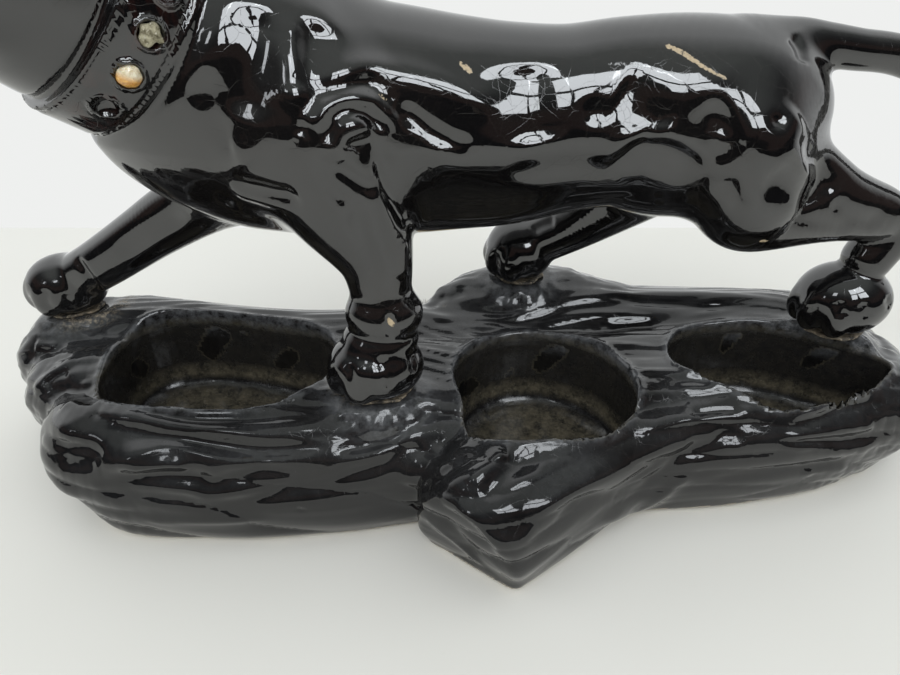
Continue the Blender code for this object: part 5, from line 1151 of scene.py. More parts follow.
# ---- turned, carved and drawn pieces
def lathe(name, profile, at, axis, turns=64, step=None, shape=None):
    """A turned piece from (radius, along) points; one that starts and ends on the axis is solid, else a closed ring."""
    solid = profile[0][0] < 1e-6 and profile[-1][0] < 1e-6
    loop = list(profile) if solid else [*profile, profile[0]]
    if step:
        fine = [loop[0]]
        for a, b in zip(loop, loop[1:]):
            n = max(1, math.ceil(math.dist(a, b) / step))
            fine += [(a[0] + (b[0] - a[0]) * k / n, a[1] + (b[1] - a[1]) * k / n) for k in range(1, n + 1)]
        loop = fine
    if not solid:
        loop = loop[:-1]
    ring = np.array(loop, float)
    n = np.array(axis, float) / np.linalg.norm(axis)
    u = np.cross(n, (0.0, 0.0, 1.0) if abs(n[2]) < 0.9 else (0.0, 1.0, 0.0))
    u /= np.linalg.norm(u)
    v = np.cross(n, u)
    turn = np.arange(turns) * math.tau / turns
    r, t = np.meshgrid(ring[:, 0], turn, indexing="ij")
    s = np.meshgrid(ring[:, 1], turn, indexing="ij")[0]
    if shape:
        r, s = shape(r, s, t)
    pts = np.array(at, float) + s[..., None] * n + (r * np.cos(t))[..., None] * u + (r * np.sin(t))[..., None] * v
    rows = len(ring)
    faces = []
    for i in range(rows - 1 if solid else rows):
        k = (i + 1) % rows
        for j in range(turns):
            m = (j + 1) % turns
            if solid and i == 0:
                faces.append([0, k * turns + m, k * turns + j])
            elif solid and k == rows - 1:
                faces.append([i * turns + j, i * turns + m, k * turns])
            else:
                faces.append([i * turns + j, i * turns + m, k * turns + m, k * turns + j])
    return closed_piece(name, pts.reshape(-1, 3), faces)


def closed_piece(name, pts, faces, smooth=True):
    used = sorted({i for f in faces for i in f})
    place = {old: new for new, old in enumerate(used)}
    pts = np.asarray(pts)[used]
    faces = [[place[i] for i in f] for f in faces]
    volume = sum(np.dot(pts[f[0]], np.cross(pts[f[k]], pts[f[k + 1]])) for f in faces for k in range(1, len(f) - 1))
    if volume < 0:
        faces = [f[::-1] for f in faces]
    obj = object_from(name, pts, faces, smooth=False)
    if smooth:
        obj.data.shade_smooth()
        obj.data.set_sharp_from_angle(angle=math.radians(38))
    return obj


def carved(name, field, low, high, h):
    verts, quads = mesh_of_field(field, low, high, h, slack=4.0, passes=2)
    return object_from(name, verts, quads, smooth=True, sharp=42)


def fit(obj, mat, node, slot_name, body="base"):
    obj.data.materials.append(mat)
    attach(obj, body)
    if node:
        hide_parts(node)
    return obj


def rounded(p, centre, half, r):
    q = np.abs(p - np.array(centre, float)) - (np.array(half, float) - r)
    return np.sqrt((np.maximum(q, 0) ** 2).sum(1)) + np.minimum(q.max(1), 0) - r


def rod(p, centre, axis, radius, half=1e3):
    rel = p - np.array(centre, float)
    n = np.array(axis, float)
    s = rel @ n
    return np.maximum(np.sqrt(((rel - s[:, None] * n) ** 2).sum(1)) - radius, np.abs(s) - half)


def drawn(name, path, outline, squeeze=None):
    """A closed sweep of an outline of (side, up) points along a path."""
    path = np.asarray(path, float)
    ring, count = np.array(outline, float), len(outline)
    tangent = np.gradient(path, axis=0)
    tangent /= np.linalg.norm(tangent, axis=1)[:, None]
    pts = []
    for i, (at, t) in enumerate(zip(path, tangent)):
        side = np.cross(t, (0.0, 0.0, 1.0))
        side /= max(np.linalg.norm(side), 1e-9)
        up = np.cross(side, t)
        k = squeeze(i) if squeeze else 1.0
        pts += [at + side * a * k + up * b * k for a, b in ring]
    rows = len(path)
    faces = [[i * count + j, i * count + (j + 1) % count, (i + 1) * count + (j + 1) % count, (i + 1) * count + j]
             for i in range(rows - 1) for j in range(count)]
    faces += [list(range(count)), list(range((rows - 1) * count, rows * count))[::-1]]
    return closed_piece(name, pts, faces)


LAMP_Y, LAMP_Z, PITCH = 99.0, 18.6, 3.63
AX = (1.0, 0.0, 0.0)


def on_axis(x):
    return (x, LAMP_Y, LAMP_Z)


def threaded(low_s, high_s, depth, pitch, fade, keep=None):
    def shape(r, s, t):
        ease = np.clip(np.minimum(s - low_s, high_s - s) / fade, 0.0, 1.0)
        turn = math.tau * s / pitch - t
        here = ease * depth * np.sin(turn)
        return (np.where(keep(r), r + here, r) if keep else r + here), s
    return shape


def hexagon(flats, bore):
    def shape(r, s, t):
        wedge = np.mod(t, math.pi / 3) - math.pi / 6
        return np.where(r > bore + 0.4, np.minimum(r, flats / 2 / np.cos(wedge)), r), s
    return shape


def nut(name, flats, thick, bore, centre, axis, mat, node):
    big = flats / 2 / math.cos(math.pi / 6)
    ring = [(bore, -thick / 2 + 0.3), (bore + 0.35, -thick / 2), (flats / 2 - 0.2, -thick / 2), (big, -thick / 2 + 0.55),
            (big, thick / 2 - 0.55), (flats / 2 - 0.2, thick / 2), (bore + 0.35, thick / 2), (bore, thick / 2 - 0.3)]
    obj = lathe(name, ring, centre, axis, 72, 0.6, hexagon(flats, bore))
    return fit(obj, mat, node, "plated_steel")


def slotted(name, head, head_high, shaft, length, slot_wide, slot_deep, at, axis, mat, slot_name, node, pitch=0.9, body="base"):
    """A round-headed machine screw with a slot and a cut thread; at is under the head."""
    n = np.array(axis, float)
    u = np.cross(n, (0.0, 0.0, 1.0) if abs(n[2]) < 0.9 else (0.0, 1.0, 0.0))
    u /= np.linalg.norm(u)
    v = np.cross(n, u)

    def field(p):
        rel = p - np.array(at, float)
        s, a, b = rel @ n, rel @ u, rel @ v
        r = np.sqrt(a * a + b * b)
        ball = (head * head + head_high * head_high) / (2 * head_high)
        dome = np.sqrt(r * r + (s - head_high + ball) ** 2) - ball
        d = smax(dome, -s, 0.3)
        turn = math.tau * s / pitch - np.arctan2(b, a)
        thread = 0.16 * np.sin(turn) * np.clip((-s - 2.0) / 1.0, 0.0, 1.0)
        d = np.minimum(d, np.maximum(np.maximum(r - shaft + 0.16 - thread, s), -s - length))
        cut = np.maximum(np.abs(a) - slot_wide / 2, head_high - slot_deep - s)
        return smax(d, -cut, 0.15)
    reach = np.abs(n) * length + head + 1.5
    obj = carved(name, field, np.array(at) - reach, np.array(at) + np.abs(n) * (head_high + 1) + head + 1.5, 0.3)
    return fit(obj, mat, node, slot_name, body)


# bracket fixing
BOLT_AT = (-33.0, 62.0 + 0.3 + 1.6 + 0.3 + 0.9 + 0.3, 29.0)
slotted("bracket_bolt_slotted", 4.4, 2.6, 2.4, 19.0, 1.1, 1.3, BOLT_AT, (0.0, 1.0, 0.0), STEEL, "plated_steel", "bracket_bolt", 0.8)
fit(lathe("bracket_washer_pressed", [(5.2, 0.9), (5.4, 0.75), (5.4, 0.12), (5.25, 0), (2.8, 0), (2.65, 0.15), (2.65, 0.75), (2.8, 0.9)],
          (-33.0, BOLT_AT[1] - 0.3 - 0.9, 29.0), (0, 1, 0), 48), STEEL, "bracket_washer", "plated_steel")
fit(lathe("cushion_washer_punched", [(6.2, 0), (6.45, -0.3), (6.4, -1.4), (6.1, -1.6), (3.0, -1.6), (2.75, -1.35), (2.75, -0.2), (3.0, 0)],
          (-33.0, 53.7, 29.0), (0, 1, 0), 48, None, lambda r, s, t: (r + np.where(r > 5, 0.12 * np.sin(5 * t + 1), 0.0), s)),
    FIBRE, "cushion_washer", "fibre")
nut("bracket_nut_chamfered", 8.6, 3.2, 2.6, (-33.0, 54.0 - 0.3 - 1.6 - 0.3 - 1.6, 29.0), (0, 1, 0), STEEL, "bracket_nut")

# nipple, locknuts, bushing
fit(lathe("threaded_nipple_cut", [(4.55, 0.4), (4.9, 0.9), (4.9, 22.1), (4.55, 22.7), (3.9, 23.0), (3.6, 22.7), (3.6, 0.3), (3.9, 0.0)],
          on_axis(-25.0), AX, 48, 0.3, threaded(0.6, 22.4, 0.17, 1.41, 0.8, lambda r: r > 4.3)), BRASS, "threaded_nipple", "brass")
nut("nipple_locknut_outer_chamfered", 16.0, 2.6, 5.15, on_axis(-14.0 - 1.6 - 0.3 - 1.3), AX, STEEL, "nipple_locknut_outer")
nut("nipple_locknut_inner_chamfered", 16.0, 2.6, 5.15, on_axis(-14.0 + 0.3 + 1.3), AX, STEEL, "nipple_locknut_inner")
fit(lathe("cord_bushing_moulded", [(5.6, 5.0), (6.2, 4.6), (6.4, 4.0), (6.4, 1.3), (6.15, 0.4), (5.5, 0), (3.9, 0), (3.2, 0.4),
                                   (3.0, 1.2), (3.0, 2.7), (5.2, 3.0), (5.2, 5.0)], on_axis(-28.0), AX, 64, 0.5,
          lambda r, s, t: (np.where((r > 6.0) & (s > 0.9) & (s < 4.6), r - 0.14 * (1 + np.cos(32 * t)), r), s)),
    BROWN, "cord_bushing", "phenolic")

# socket
CAP_X = -14.0 + 0.3 + 2.6 + 0.3
SOCKET_X = CAP_X + 13.0


def cap_shape(r, s, t):
    bead = 0.30 * np.exp(-((s - 11.6) / 0.8) ** 2) - 0.18 * np.exp(-((s - 13.4) / 0.7) ** 2)
    press = 0.55 * np.exp(-((s - 15.6) / 1.5) ** 2) * np.exp(-((np.mod(t, math.pi) - 1.2) / 0.14) ** 2)
    flare = 0.22 * np.clip((s - 18.6) / 1.2, 0.0, 1.0)
    move = np.where(r > 14.0, bead - press - np.where(r > 17.3, 0.0, flare * 0.0), 0.0)
    return np.minimum(r + move, 17.95), s


fit(lathe("socket_cap_spun", [(17.6, 20.0), (17.75, 19.6), (17.7, 9.5), (17.3, 7.8), (16.0, 5.0), (13.8, 3.2), (11.0, 2.0), (7.4, 0.3),
                              (6.8, 0.0), (5.4, 0.0), (5.3, 1.0), (5.3, 3.3), (5.7, 3.6), (7.6, 3.4), (10.6, 3.2), (13.4, 4.4),
                              (15.3, 6.4), (16.6, 8.8), (17.0, 10.0), (17.0, 20.0)], on_axis(CAP_X), AX, 96, 0.7, cap_shape),
    BRASS, "socket_cap", "brass")


def shell_shape(r, s, t):
    bead = 0.34 * np.exp(-((s - 25.0) / 0.9) ** 2) + 0.22 * np.exp(-((s - 28.2) / 0.6) ** 2) - 0.24 * np.exp(-((s - 33.5) / 0.9) ** 2)
    grip = 0.10 * (np.cos(60 * t)) * np.clip(np.minimum(s - 8.6, 22.0 - s) / 0.8, 0.0, 1.0)
    roll = 0.30 * np.exp(-((s - 39.7) / 0.7) ** 2)
    dent = 0.35 * np.exp(-((s - 18.0) / 2.4) ** 2) * np.exp(-((t - 1.6) / 0.16) ** 2)
    return r + bead + grip + roll - dent, s


fit(lathe("socket_shell_rolled", [(16.75, 40.5), (16.95, 40.0), (16.5, 38.0), (16.6, 14.0), (16.6, 8.0), (16.35, 0.2), (16.2, 0.0),
                                  (15.95, 0.2), (16.0, 14.0), (15.95, 38.0), (16.15, 40.1), (16.4, 40.6)],
          on_axis(SOCKET_X), AX, 240, 0.5, shell_shape), BRASS, "socket_shell", "brass")
RING_X = SOCKET_X + 2.0 + 12.0 + 0.3
fit(lathe("socket_screw_shell_rolled", [(13.75, 24.5), (13.85, 24.2), (13.85, 1.2), (13.0, 0.0), (7.2, 0.0), (7.0, 0.2), (7.0, 0.6),
                                        (7.2, 0.75), (12.9, 0.75), (13.40, 1.6), (13.40, 24.2), (13.5, 24.5)],
          on_axis(RING_X), AX, 96, 0.4, threaded(2.0, 24.0, 0.30, PITCH, 1.6, lambda r: r > 13.2)), BRASS, "socket_screw_shell", "brass")
fit(lathe("socket_centre_contact_domed", [(0, 2.2), (1.6, 2.18), (2.8, 2.0), (3.6, 1.6), (3.85, 1.1), (3.8, 0.55), (2.4, 0.5), (1.1, 0.45),
                                          (1.1, -5.7), (0.8, -6.0), (0, -6.0)], on_axis(RING_X - 0.2), AX, 40), BRASS,
    "socket_centre_contact", "brass")
for name, sign, mat, slot_name in (("terminal_screw_brass", -1.0, BRASS, "brass"), ("terminal_screw_silver", 1.0, STEEL, "plated_steel")):
    slotted(name + "_slotted", 2.9, 1.2, 1.6, 0.0, 0.7, 0.6, (SOCKET_X + 2.7, LAMP_Y, LAMP_Z + sign * 11.3), (0.0, 0.0, sign), mat,
            slot_name, name)

# tubular lamp
TIP_X = RING_X - 0.2 + 2.2 + 0.3
fit(lathe("lamp_tip_contact_soldered", [(0, 0), (1.6, -0.02), (3.0, -0.25), (4.1, -0.75), (4.35, -1.2), (4.1, -1.4), (0, -1.4)],
          on_axis(TIP_X), (-1, 0, 0), 40, 0.5,
          lambda r, s, t: (r, s - 0.18 * np.exp(-((r - 1.8) / 1.0) ** 2) * (1 + np.cos(3 * t)) * (s > -0.6))),
    BRASS, "lamp_tip_contact", "brass", "lamp_tip")
INS_X = TIP_X + 1.4 + 0.3
fit(lathe("lamp_base_insulator_cast", [(0, 3.6), (12.0, 3.6), (12.2, 3.4), (12.2, 2.7), (11.6, 2.3), (8.6, 1.5), (6.2, 0.4), (5.4, 0.05),
                                       (4.6, 0), (0, 0)], on_axis(INS_X), AX, 72, 0.7,
          lambda r, s, t: (r, s + 0.10 * np.cos(6 * t) * ((r > 5.5) & (r < 11.8) & (s < 3.0)))), BROWN, "lamp_base_insulator",
    "phenolic", "lamp")
BASE_X = INS_X + 3.6 + 0.3
fit(lathe("lamp_base_shell_threaded", [(12.75, 20.5), (12.95, 20.0), (12.60, 18.6), (12.62, 1.2), (12.3, 0.1), (11.6, 0.0), (11.5, 0.3),
                                       (12.05, 1.4), (12.12, 18.6), (12.3, 20.3)], on_axis(BASE_X), AX, 96, 0.4,
          threaded(1.6, 17.6, 0.33, PITCH, 1.6)), BRASS, "lamp_base_shell", "brass", "lamp")
GLASS_X = BASE_X + 4.0
TIP = 174.0 - GLASS_X
glass_out = [(0, TIP)] + [(15.5 * math.sin(a), TIP - 15.5 * (1 - math.cos(a))) for a in np.linspace(0.12, math.pi / 2, 12)]
glass_out += [(15.5, 60), (15.5, 31), (15.1, 27), (13.9, 22.5), (12.4, 19.4), (11.4, 17.0), (11.1, 13), (11.1, 0.3), (10.9, 0)]
glass_in = [(10.4, 0.1), (10.3, 13), (10.6, 17.3), (11.6, 19.9), (13.1, 23.0), (14.3, 27.3), (14.7, 31), (14.7, 60)]
glass_in += [(14.7 * math.sin(a), TIP - 0.8 - 14.7 * (1 - math.cos(a))) for a in np.linspace(math.pi / 2, 0.12, 12)] + [(0, TIP - 0.8)]
fit(lathe("lamp_glass_tube", glass_out + glass_in, on_axis(GLASS_X), AX, 72), GLASS, "lamp_glass", "lamp_glass", "lamp")
STEM_X = GLASS_X + 2.0
fit(lathe("lamp_stem_pressed", [(0, 38), (1.6, 37.9), (2.3, 37.2), (2.6, 34), (2.7, 20), (3.3, 12), (4.6, 7), (7.4, 3.2), (9.6, 1.4),
                                (9.9, 0.6), (9.7, 0), (0, 0)], on_axis(STEM_X), AX, 48, 1.2,
          lambda r, s, t: (r * np.where(s > 24, 1.0 - 0.28 * np.abs(np.sin(t)) * np.clip((s - 24) / 6, 0, 1), 1.0), s)), GLASS,
    "lamp_stem", "lamp_glass", "lamp")
FIL_X = STEM_X + 38.3
wire = catmull([(FIL_X, LAMP_Y - 1.4, LAMP_Z), (FIL_X + 8, LAMP_Y - 5, LAMP_Z + 1), (FIL_X + 26, LAMP_Y - 6, LAMP_Z + 2),
                (FIL_X + 62, LAMP_Y - 2.5, LAMP_Z + 3), (FIL_X + 66, LAMP_Y, LAMP_Z + 3.4), (FIL_X + 62, LAMP_Y + 2.5, LAMP_Z + 3),
                (FIL_X + 26, LAMP_Y + 6, LAMP_Z + 2), (FIL_X + 8, LAMP_Y + 5, LAMP_Z + 1), (FIL_X, LAMP_Y + 1.4, LAMP_Z)], 120)
place = np.linspace(0.0, 1.0, len(wire))
coil = np.clip(np.minimum(place - 0.07, 0.93 - place) / 0.02, 0.0, 1.0) * 0.42
beat = math.tau * place * 96
tang = np.gradient(wire, axis=0)
tang /= np.linalg.norm(tang, axis=1)[:, None]
side = np.cross(tang, (0.0, 0.0, 1.0))
side /= np.linalg.norm(side, axis=1)[:, None]
wire = wire + (side * np.cos(beat)[:, None] + np.cross(side, tang) * np.sin(beat)[:, None]) * coil[:, None]
fit(drawn("lamp_filament_coiled", wire, [(0.17 * math.cos(a), 0.17 * math.sin(a)) for a in np.arange(5) * math.tau / 5]), TUNGSTEN,
    "lamp_filament", "tungsten", "lamp")

# cord: two parallel conductors moulded in one
lobes = []
for k in range(12):
    a = -math.pi * 0.62 + math.pi * 1.24 * k / 11
    lobes.append((1.02 + 1.38 * math.cos(a), 1.38 * math.sin(a)))
lobes += [(-x, -y) for x, y in lobes]
SX, SY, SZ = -98.0, 84.0, 10.6
PX, PY, PZ = 78.0, 130.0, 9.0
LAID = 2.7
to_switch = [(CAP_X + 8, LAMP_Y, LAMP_Z), (-25, LAMP_Y, LAMP_Z), (-32, LAMP_Y, LAMP_Z - 0.4), (-41, LAMP_Y - 3, LAMP_Z - 3.5),
             (-52, LAMP_Y - 10, SZ + 1.2), (SX + 37, SY + 0.5, SZ), (SX + 32, SY, SZ), (SX + 22, SY, SZ)]
to_plug = [(SX - 22, SY, SZ), (SX - 32, SY, SZ), (SX - 46, SY, SZ - 4.5), (SX - 60, SY + 3, LAID), (SX - 72, SY + 16, LAID),
           (SX - 64, SY + 30, LAID), (SX - 38, SY + 35, LAID), (-60, SY + 37, LAID), (0, SY + 40, LAID), (PX - 46, PY, LAID + 0.5),
           (PX - 27, PY, PZ - 1), (PX - 18, PY, PZ), (PX - 6, PY, PZ)]
for name, path_, node in (("cord_to_switch_twin", to_switch, "cord_socket_to_switch"), ("cord_to_plug_twin", to_plug, "cord_switch_to_plug")):
    line = catmull(path_, 10)
    line[:, 2] -= 1.1 * np.clip((5.0 - line[:, 2]) / 2.3, 0.0, 1.0)
    fit(drawn(name, line, lobes), CORD, node, "brown_cord")

# switch in the cord
WHEEL_Y = SY + 5.2


def housing(p):
    q = p - np.array([SX, SY, SZ])
    waist = 0.9 * np.cos(np.clip(q[:, 0] / 30.0, -1, 1) * math.pi / 2)
    end = np.clip((np.abs(q[:, 0]) - 12.0) / 18.0, 0.0, 1.0)
    d = rounded(p, (SX, SY, SZ), (30.0, 12.0, 9.5), 4.2)
    d += 1.1 * end * end * np.clip(np.abs(q[:, 2]) / 9.5, 0, 1) - 0.0 * waist
    ribs = 0.32 * (1 - np.cos(math.tau * q[:, 0] / 2.6)) * np.clip((np.abs(q[:, 0]) - 15.5) / 1.0, 0, 1) * np.clip((27.0 - np.abs(q[:, 0])) / 1.0, 0, 1)
    d += ribs * (np.abs(q[:, 1]) > 7.0) * np.clip((np.abs(q[:, 1]) - 8.0) / 2.0, 0, 1)
    plate = rounded(p, (SX, SY, SZ), (12.0, 7.6, 14.0), 2.0)
    d += 0.35 * np.exp(-(plate / 0.5) ** 2) * (np.abs(q[:, 2]) > 7.0)
    return d


def half_shell(p, sign):
    q = p - np.array([SX, SY, SZ])
    d = smax(housing(p), 0.16 - sign * q[:, 2], 0.5)
    for cut in (rod(p, (SX, SY, SZ), AX, 2.7), rounded(p, (SX, SY - 2.0, SZ), (21.0, 6.5, 6.6), 1.0),
                rod(p, (SX, WHEEL_Y, SZ), (0, 0, 1), 10.3, 3.1), rod(p, (SX, WHEEL_Y, SZ), (0, 0, 1), 1.8, 7.3),
                rod(p, (SX - 25, SY - 8, SZ), (0, 0, 1), 1.8)):
        d = smax(d, -cut, 0.3)
    if sign > 0:
        d = smax(d, -rod(p, (SX - 25, SY - 8, SZ + 9.5), (0, 0, 1), 3.3, 2.2), 0.3)
    else:
        rel = p - np.array([SX - 25, SY - 8, SZ - 9.5])
        hexa = np.max([np.abs(rel[:, 0] * math.cos(a) + rel[:, 1] * math.sin(a)) for a in (0.0, math.pi / 3, 2 * math.pi / 3)], axis=0) - 3.1
        d = smax(d, -np.maximum(hexa, np.abs(rel[:, 2]) - 2.4), 0.2)
    return d


for key, sign in (("top", 1.0), ("bottom", -1.0)):
    low_z, high_z = (SZ - 1.0, SZ + 10.8) if sign > 0 else (SZ - 10.8, SZ + 1.0)
    shell = carved("switch_shell_" + key, lambda p, k=sign: half_shell(p, k), (SX - 32, SY - 14, low_z), (SX + 32, SY + 14, high_z),
                   0.55)
    fit(shell, BROWN, "switch_housing_" + key, "phenolic")
fit(lathe("switch_wheel_knurled", [(8.7, 2.0), (9.2, 1.8), (9.5, 1.3), (9.5, -1.3), (9.2, -1.8), (8.7, -2.0), (2.0, -2.0), (1.75, -1.8),
                                   (1.75, 1.8), (2.0, 2.0)], (SX, WHEEL_Y, SZ), (0, 0, 1), 168, 0.8,
          lambda r, s, t: (np.where(r > 8.3, r - 0.28 * (1 + np.cos(28 * t)), r), s)), BROWN, "switch_wheel", "phenolic", "switch_rotor")
slotted("switch_screw_slotted", 2.9, 1.7, 1.45, 15.0, 0.8, 0.9, (SX - 25, SY - 8, SZ + 9.5 - 2.2 + 0.3), (0.0, 0.0, 1.0), STEEL,
        "plated_steel", "switch_screw", 0.7)
nut("switch_nut_chamfered", 5.6, 2.0, 1.6, (SX - 25, SY - 8, SZ - 9.5 + 1.05), (0, 0, 1), STEEL, "switch_nut")


# plug
def plug_field(p):
    q = p - np.array([PX, PY, PZ])
    back_ = np.clip((-q[:, 0] - 2.0) / 14.0, 0.0, 1.0)
    wide, tall = 11.5 - 4.6 * back_ ** 1.6, 7.2 - 2.0 * back_ ** 1.6
    oval = ((np.abs(q[:, 1]) / wide) ** 3.2 + (np.abs(q[:, 2]) / tall) ** 3.2) ** (1 / 3.2)
    d = (oval - 1.0) * np.minimum(wide, tall)
    d += 0.42 * (1 - np.cos(math.tau * (q[:, 0] + 1.0) / 2.8)) * np.clip((-q[:, 0] - 0.5) / 1.0, 0, 1) * np.clip((q[:, 0] + 13.4) / 1.0, 0, 1)
    d = smax(d, np.abs(q[:, 0] + 2.0) - 14.0, 1.6)
    d = smax(d, -rounded(p, (PX + 5.0, PY, PZ), (9.0, 9.5, 5.2), 1.2), 0.3)
    return smax(d, -rod(p, (PX - 16, PY, PZ), AX, 2.7, 20.0), 0.5)


fit(carved("plug_body_ribbed", plug_field, (PX - 18, PY - 13, PZ - 9), (PX + 14, PY + 13, PZ + 9), 0.5), BROWN,
    "plug_body", "phenolic")
for name, sign in (("plug_blade_left", -1.0), ("plug_blade_right", 1.0)):
    y = PY + sign * 6.35

    def blade(p, y=y):
        d = rounded(p, (PX + 14.75, y, PZ), (14.25, 0.75, 3.2), 0.3)
        tip_ = np.maximum((p[:, 0] - PX - 26.6) * 0.75 + np.abs(p[:, 2] - PZ) * 0.66 - 1.3, 0.0)
        d = smax(d, (p[:, 0] - PX - 26.6) * 0.75 + np.abs(p[:, 2] - PZ) * 0.66 - 2.2, 0.3)
        d = smax(d, (p[:, 0] - PX - 27.6) * 0.8 + np.abs(p[:, 1] - y) * 0.6 - 0.6, 0.2)
        return smax(d, -rod(p, (PX + 24.6, y, PZ), (0, 1, 0), 1.55), 0.15)
    fit(carved(name + "_punched", blade, (PX, y - 1.6, PZ - 4.2), (PX + 30, y + 1.6, PZ + 4.2), 0.28), BRASS, name, "brass")


# stones, eyes, residue and slip joints
def dome(name, at, axis, radius, high_, back_, mat, node, slot_name, marks):
    n = np.array(axis, float)
    ring = [(0, high_)] + [(radius * math.sin(a), high_ * math.cos(a) ** 1.2) for a in np.linspace(0.18, math.pi / 2, 9)]
    ring += [(radius, -0.3), (radius * 0.9, -back_), (0, -back_)]
    obj = lathe(name, ring, at, axis, 40, None, marks.get("shape"))
    pts = np.empty(len(obj.data.vertices) * 3)
    obj.data.vertices.foreach_get("co", pts)
    pts = pts.reshape(-1, 3) * 1000.0 - SHIFT
    for key_, fn in marks.items():
        if key_ != "shape":
            layer = obj.data.attributes.new(key_, "FLOAT", "POINT")
            layer.data.foreach_set("value", fn(pts - np.array(at), n).astype(np.float32))
    return fit(obj, mat, node, slot_name)


spot, out = collar_spot(-24.4, 10.0, COLLAR_R + 2.35)
# the mask rises towards the bottom of the stone: painted amber glow below, painted cream highlight on top
dome("collar_stone_cabochon", spot, out, 3.45, 2.5, 1.2, AMBER, "collar_stone", "amber_stone",
     {"lower": lambda q, n: np.clip(0.5 - q[:, 2] / 4.0 - q[:, 0] / 9.0, 0, 1),
      "shape": lambda r, s, t: (r * (1 + 0.03 * np.sin(3 * t + 1) + 0.02 * np.sin(7 * t)), s)})
for key in EYES:
    eye_dir = np.array(EYE_DIRS[key]) / np.linalg.norm(EYE_DIRS[key])
    at = from_head(np.array(EYES[key]) + eye_dir * 0.4)
    axis = from_head(eye_dir) - HEAD_AT
    across = np.cross(axis, (0.0, 0.0, 1.0))
    across /= np.linalg.norm(across)
    upright = np.cross(across, axis)
    dome(key + "_glass", at, axis, 2.75, 1.9, 2.2, EYE, key, "eye_glass",
         {"slit": lambda q, n, a=across, b=upright: (np.abs(q @ a) < 0.42 * (1 - (q @ b / 2.3) ** 2)).astype(float),
          "edge": lambda q, n: np.clip((np.sqrt(((q - (q @ n)[:, None] * n) ** 2).sum(1)) - 2.0) / 0.4, 0, 1)})
spot, out = collar_spot(-4.4, 10.0, COLLAR_R + 2.2)


def residue(p):
    rel = p - spot
    s = rel @ out
    flat = rel - s[:, None] * out
    d = np.sqrt((flat ** 2).sum(1) / 3.4 ** 2 + (s / 1.3) ** 2) - 1.0
    d = d * 1.6 + 0.45 * wobble(p, 3.2, 31)
    return smax(d, s - 1.4, 0.4)


obj = fit(carved("seat_residue", residue, spot - 6.0, spot + 6.0, 0.4), CEMENT, None, "bare_clay")


def bond_field(p, x, y, z, rx, ry, seed):
    q = p - np.array([x, y, z])
    ring = np.sqrt((q[:, 0] / (rx + 0.4)) ** 2 + (q[:, 1] / (ry + 0.4)) ** 2)
    edge = (ring - 1.0) * min(rx, ry) + 0.8 * wobble(p, 11.0, seed) + 0.3 * wobble(p, 4.0, seed + 1)
    return smax(edge, np.abs(q[:, 2]) - 0.72, 0.8)


for i, (key, (x, y, z, rx, ry)) in enumerate(PAWS.items()):
    obj = carved("paw_slip_" + key, lambda p, a=(x, y, z, rx, ry, 41 + 3 * i): bond_field(p, *a),
                 (x - rx - 4, y - ry - 4, z - 2.4), (x + rx + 4, y + ry + 4, z + 2.4), 0.5)
    fit(obj, SLIP, "paw_bond_" + key, "bare_clay")

# softened edges on the pressed and moulded nodes that stay
for name, width in (("socket_bracket", 0.35), ("socket_body", 0.3), ("switch_contact_in", 0.12), ("switch_contact_out", 0.12),
                    ("plug_insulating_disc", 0.15), ("switch_spindle", 0.15), ("switch_rotor_contact", 0.1),
                    ("felt_pad_front_left", 0.3), ("felt_pad_front_right", 0.3), ("felt_pad_rear_left", 0.3),
                    ("felt_pad_rear_right", 0.3)):
    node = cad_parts[name]
    bevel = node.modifiers.new("soft_edges", "BEVEL")
    bevel.width, bevel.segments, bevel.limit_method, bevel.angle_limit = width * 0.001, 2, "ANGLE", math.radians(40)

# ---- floor, light, camera
def stage_finish():
    f = Finish("floor_pale")
    tone = f.blend(f.span(f.noise(260.0, 3.0), 0.3, 0.7), (0.765, 0.77, 0.735), (0.80, 0.805, 0.775))
    tone = f.blend(f.calc("MULTIPLY", f.span(f.noise(1.4, 2.0), 0.76, 0.80), 0.35), tone, (0.55, 0.55, 0.53))
    return f.set(Base_Color=tone, Roughness=0.5, Specular_IOR_Level=0.3, Normal=f.bump(f.noise(2.0, 3.0), 0.05, 0.1))


def plane(name, corners):
    mesh = bpy.data.meshes.new(name)
    mesh.from_pydata([tuple(c) for c in corners], [], [(0, 1, 2, 3)])
    obj = bpy.data.objects.new(name, mesh)
    bpy.context.scene.collection.objects.link(obj)
    obj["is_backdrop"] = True
    return obj


back = (259.0 + SHIFT[1]) * 0.001
floor = plane("floor", [(-3, -1.6, 0), (3, -1.6, 0), (3, back, 0), (-3, back, 0)])
floor.data.materials.append(stage_finish())


def lamp(name, at, size, power, colour, aim=(0.0, 0.0, 0.12)):
    data = bpy.data.lights.new(name, "AREA")
    data.shape = "RECTANGLE"
    data.size, data.size_y = size
    data.energy = power
    data.color = colour
    obj = bpy.data.objects.new(name, data)
    obj.location = at
    obj.rotation_mode = "QUATERNION"
    obj.rotation_quaternion = (Vector(aim) - Vector(at)).to_track_quat("-Z", "Y")
    bpy.context.scene.collection.objects.link(obj)
    return obj


def pane(name, az, el, reach, size, radiance, colour=(0.92, 0.96, 1.0)):
    """A bright window pane, seen only in the glaze: azimuth from -Y towards +X, elevation, in degrees."""
    a, e = math.radians(az), math.radians(el)
    at = (reach * math.sin(a) * math.cos(e), -reach * math.cos(a) * math.cos(e), 0.14 + reach * math.sin(e))
    power = radiance * math.pi * size[0] * size[1] * 0.25 * 4.0
    obj = lamp(name, at, size, power, colour, (0.0, 0.0, 0.14))
    obj.visible_diffuse = False
    return obj


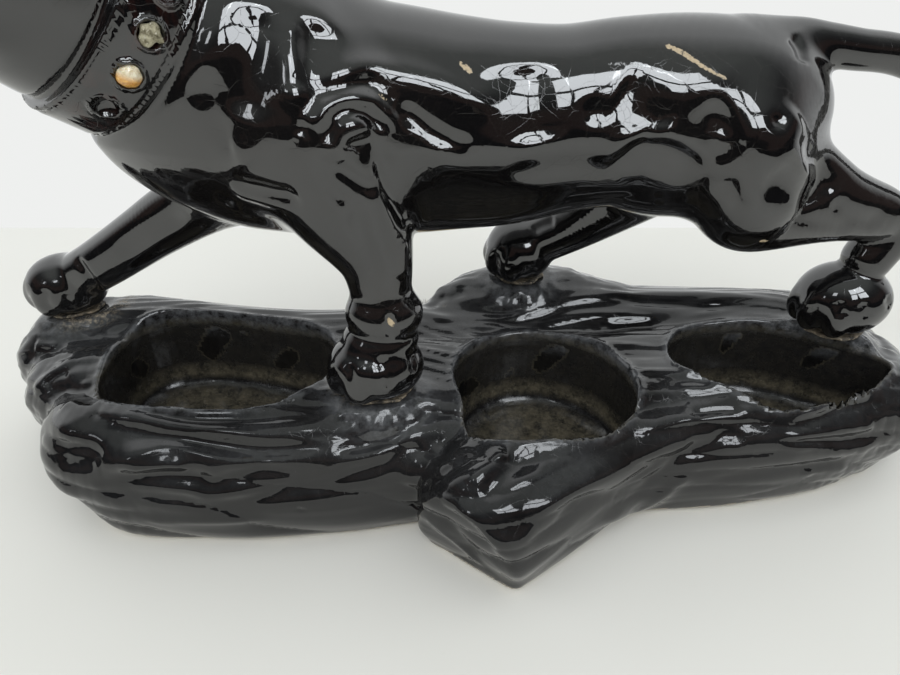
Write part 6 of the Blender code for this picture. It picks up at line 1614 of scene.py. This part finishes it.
for i, (az, wide) in enumerate(((18.5, 0.36), (39.5, 0.50))):
    for j, el in enumerate((33.0, 49.0)):
        pane("pane_%d_%d" % (i, j), az, el, 1.7, (wide, 0.40), 6.5)
pane("pane_left", -30.0, 40.0, 1.7, (0.24, 0.30), 4.5)
pane("pane_low", -55.0, 24.0, 1.7, (0.12, 0.20), 3.0)
key = lamp("soft_key", (-0.35, -1.1, 1.5), (1.1, 0.7), 7.5, (1.0, 0.99, 0.97))
key.visible_glossy = False

world = bpy.data.worlds.new("studio")
world.use_nodes = True
wt = world.node_tree
back_node = wt.nodes["Background"]
path = wt.nodes.new("ShaderNodeLightPath")
coord = wt.nodes.new("ShaderNodeTexCoord")
split = wt.nodes.new("ShaderNodeSeparateXYZ")
wt.links.new(coord.outputs["Generated"], split.inputs[0])


def wmix(factor, a, b):
    n = wt.nodes.new("ShaderNodeMix")
    n.data_type = "RGBA"
    for key_, value in ((0, factor), (6, a), (7, b)):
        if isinstance(value, bpy.types.NodeSocket):
            wt.links.new(value, n.inputs[key_])
        else:
            n.inputs[key_].default_value = value
    return n.outputs[2]


def wramp(value, stops):
    n = wt.nodes.new("ShaderNodeValToRGB")
    ramp = n.color_ramp
    while len(ramp.elements) < len(stops):
        ramp.elements.new(0.5)
    for element, (place, colour) in zip(ramp.elements, stops):
        element.position = place
        element.color = (*colour, 1.0)
    wt.links.new(value, n.inputs[0])
    return n.outputs[0]


# what the glaze sees: dark room low in front, brown band, ceiling overhead, pale wall behind
front = wramp(split.outputs[2], [
    (0.0, (0.010, 0.010, 0.011)), (0.16, (0.012, 0.012, 0.013)), (0.21, (0.085, 0.055, 0.048)),
    (0.36, (0.095, 0.066, 0.058)), (0.45, (0.055, 0.052, 0.050)), (0.60, (0.10, 0.105, 0.105)),
    (0.78, (0.36, 0.385, 0.37)), (1.0, (0.46, 0.485, 0.465))])
ramp = wt.nodes.new("ShaderNodeMapRange")
ramp.inputs[1].default_value, ramp.inputs[2].default_value = -0.05, 0.30
ramp.inputs[3].default_value, ramp.inputs[4].default_value = 0.0, 1.0
wt.links.new(split.outputs[1], ramp.inputs[0])
seen_in_glaze = wmix(ramp.outputs[0], front, (0.98, 1.0, 1.0, 1.0))
soft = wmix(path.outputs["Is Glossy Ray"], (0.94, 0.95, 0.94, 1.0), seen_in_glaze)
wt.links.new(wmix(path.outputs["Is Camera Ray"], soft, (0.86, 0.87, 0.86, 1.0)), back_node.inputs[0])
bpy.context.scene.world = world

cam_data = bpy.data.cameras.new("camera")
cam_data.lens, cam_data.sensor_width, cam_data.clip_start = 27.08, 36.0, 0.01
camera = bpy.data.objects.new("camera", cam_data)
camera.location = to_frame([0.0, -233.71, 227.76])
camera.rotation_euler = (math.radians(56.0), 0.0, 0.0)
bpy.context.scene.collection.objects.link(camera)
bpy.context.scene.camera = camera
bpy.context.scene.view_settings.view_transform = "Standard"

bpy.context.view_layer.update()
low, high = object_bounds()
{"cad": [list(CAD_LOW), list(CAD_HIGH)], "visual": [list(low), list(high)]}
